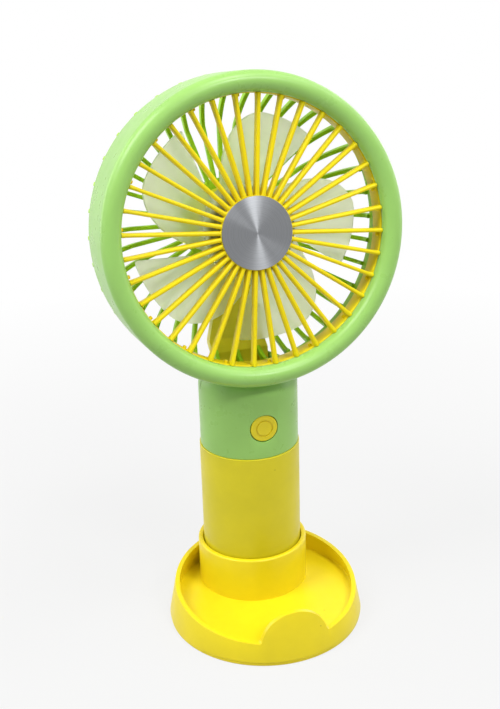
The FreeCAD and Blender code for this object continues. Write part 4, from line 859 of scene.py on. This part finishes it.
def blade_edges():
    """Stations (x, trailing edge, leading edge) of one blade that lies along +X."""
    corner_x, corner_t = polar(BLADE_REACH, -BLADE_CORNER)

    def leading(x):
        share = max(0.0, (x - (BLADE_REACH - LEAD_RUN)) / LEAD_RUN)
        return LEAD_HEIGHT * math.sqrt(max(0.0, 1 - share * share)) + LEAD_SHIFT

    def trailing(x):
        return TRAIL_START + (corner_t - TRAIL_START) * (x - BLADE_ROOT) / (corner_x - BLADE_ROOT)

    edges = [(x, trailing(x)) for x in
             [BLADE_ROOT + (corner_x - 1.2 - BLADE_ROOT) * k / 20 for k in range(21)]]
    # The corner itself is rounded a little, and then the tip follows a circle round the axis.
    edges += [(corner_x - 0.62, trailing(corner_x - 0.62) + 0.09),
              (corner_x - 0.05, corner_t + 0.42), (corner_x + 0.45, corner_t + 0.86)]
    start, end = BLADE_CORNER - 2.6, 3.0
    edges += [polar(BLADE_REACH, -(start - (start - end) * k / 18)) for k in range(19)]
    return [(x, low, leading(x)) for x, low in edges]


def blade_lift(x, t):
    """Height of the pitched blade, steeper at its root than at its tip."""
    share = (x - BLADE_ROOT) / (BLADE_REACH - BLADE_ROOT)
    across, height = LIFT_BASE
    return height - (ROOT_PITCH + (TIP_PITCH - ROOT_PITCH) * share) * (across - t)


def make_impeller():
    """Cup over the motor with five pitched blades."""
    outline = [(IMPELLER_BORE, IMPELLER_FOOT), (16.2, IMPELLER_FOOT), (IMPELLER_RADIUS, 8.3)]
    outline += arc_points(IMPELLER_RADIUS - IMPELLER_EDGE, IMPELLER_TOP - IMPELLER_EDGE,
                          IMPELLER_EDGE, 0, 90, 8)
    outline += [(0, IMPELLER_TOP), (0, IMPELLER_ROOF), (IMPELLER_BORE, IMPELLER_ROOF)]
    hub = lathe("impeller_hub", outline, 192, HEAD)
    verts, faces = [], []
    stations, across = blade_edges(), 18
    for x, low, high in stations:
        for k in range(across + 1):
            t = low + (high - low) * k / across
            verts.append((x, t, blade_lift(x, t)))
    for row in range(len(stations) - 1):
        for k in range(across):
            first = row * (across + 1) + k
            faces.append((first, first + 1, first + across + 2, first + across + 1))
    blade = make_object("blade", verts, faces)
    solid = blade.modifiers.new("thick", "SOLIDIFY")
    solid.thickness = BLADE_THICKNESS * MM
    solid.offset = 0
    solid.use_even_offset = True
    applied(blade)
    bevel(blade, BLADE_EDGE, 50)
    boolean(blade, cylinder("hub_room", 15.7, -5, 18.0, 192))
    blades = copies_round("blades", blade, BLADE_COUNT, BLADE_PHASE)
    impeller = join("impeller_fine", [hub, blades])
    finish(impeller, "impeller", "blade_clear", "impeller", degrees=60)


make_tray()
make_plate()
make_sleeve()
make_neck()
make_ring()
make_grille()
make_disc()
make_guard()
make_bracket()
make_impeller()


# Floor, light and camera

# Name, azimuth, elevation, distance (m), size (m) and level of each soft light
LAMPS = (
    ("key", 25, 68, 1.1, (0.30, 0.30), 0.34),
    ("front", 20, 40, 1.1, (0.30, 0.14), 0.34),
    ("upper_left", -80, 50, 1.0, (0.50, 0.50), 0.72),
    ("upper_right", 80, 50, 1.0, (0.50, 0.50), 0.25),
    ("right", 85, 12, 1.0, (0.35, 0.80), 0.15),
    ("left", -85, 12, 1.0, (0.35, 0.80), 0.08),
    ("rear_left", -130, 15, 1.0, (0.50, 0.80), 0.30),
    ("rear_right", 130, 15, 1.0, (0.50, 0.80), 0.15),
)
LAMP_TARGET = Vector((0, 0, 0.11))
WORLD_LEVEL = 0.15
FLOOR_REACH = 3000
FLOOR_TONE = 0.46
FLOOR_WHITE = 0.80          # the floor's share of plain white beside the object
FADE_START, FADE_END = 0.12, 0.42   # metres from the middle, where that share grows to 1

# Camera fitted to the photo: angles, place in metres, and focal length and height in pixels
CAMERA_AZIMUTH, CAMERA_ELEVATION, CAMERA_ROLL = -17.8535, 21.5729, -1.6008
CAMERA_PLACE = (-0.115859, -0.349000, 0.252410)
FOCAL_PIXELS = 1105.02
PICTURE_HEIGHT = 709
SENSOR = 36


def towards(azimuth, elevation):
    """Direction from the object, in radians. Azimuth 0 is the front and grows to the right."""
    return Vector((math.sin(azimuth) * math.cos(elevation),
                   -math.cos(azimuth) * math.cos(elevation), math.sin(elevation)))


def make_floor():
    """Pale floor that fades into white away from the object and keeps its shadow."""
    corners = ((-1, -1), (1, -1), (1, 1), (-1, 1))
    verts = [(x * FLOOR_REACH, y * FLOOR_REACH, 0) for x, y in corners]
    floor = make_object("floor", verts, [(0, 1, 2, 3)])
    n = Nodes(bpy.data.materials.new("floor"))
    n.surface(Base_Color=(FLOOR_TONE, FLOOR_TONE, FLOOR_TONE, 1), Roughness=0.9,
              Specular_IOR_Level=0.1)
    white = n.add("Emission")
    n.put(white, Strength=1.0)
    away = n.band(n.length(n.place()), FADE_START, FADE_END, FLOOR_WHITE, 1.0)
    blend = n.add("MixShader")
    n.put(blend, input_0=n.math("MULTIPLY", n.seen_directly(), away),
          input_1=n.tree.nodes["Principled BSDF"].outputs["BSDF"],
          input_2=white.outputs["Emission"])
    n.put(n.tree.nodes["Material Output"], Surface=blend.outputs["Shader"])
    floor.data.materials.append(n.owner)


def make_world():
    """White where it is seen or mirrored, and a weak even light elsewhere."""
    SCENE.world = bpy.data.worlds.new("studio")
    n = Nodes(SCENE.world)
    n.put(n.tree.nodes["Background"], Color=(1, 1, 1, 1),
          Strength=n.band(n.seen_directly(), 0.0, 1.0, WORLD_LEVEL, 1.0))


def make_lamp(name, azimuth, elevation, distance, size, level):
    """Soft light round the object. At level 1 a face turned to it shows its colour as written."""
    light = bpy.data.lights.new(name, "AREA")
    light.shape = "RECTANGLE"
    light.size, light.size_y = size
    light.energy = level * (math.pi * distance) ** 2
    made = placed(name, light)
    away = towards(math.radians(azimuth), math.radians(elevation))
    made.location = LAMP_TARGET + away * distance
    made.rotation_euler = away.to_track_quat("Z", "Y").to_euler()


def make_camera():
    azimuth, elevation, roll = (
        math.radians(a) for a in (CAMERA_AZIMUTH, CAMERA_ELEVATION, CAMERA_ROLL))
    back = towards(azimuth, elevation)
    right = Vector((math.cos(azimuth), math.sin(azimuth), 0))
    up = back.cross(right)
    right, up = (right * math.cos(roll) + up * math.sin(roll),
                 up * math.cos(roll) - right * math.sin(roll))
    camera = bpy.data.cameras.new("camera")
    camera.lens = FOCAL_PIXELS / PICTURE_HEIGHT * SENSOR
    camera.sensor_width = SENSOR
    camera.sensor_fit = "AUTO"
    camera.clip_start = 0.01
    axes = zip(right, up, back, CAMERA_PLACE)
    SCENE.camera = placed("camera", camera, Matrix([*axes, (0, 0, 0, 1)]))


make_floor()
make_world()
make_camera()
for lamp in LAMPS:
    make_lamp(*lamp)

SCENE.view_settings.view_transform = "Standard"
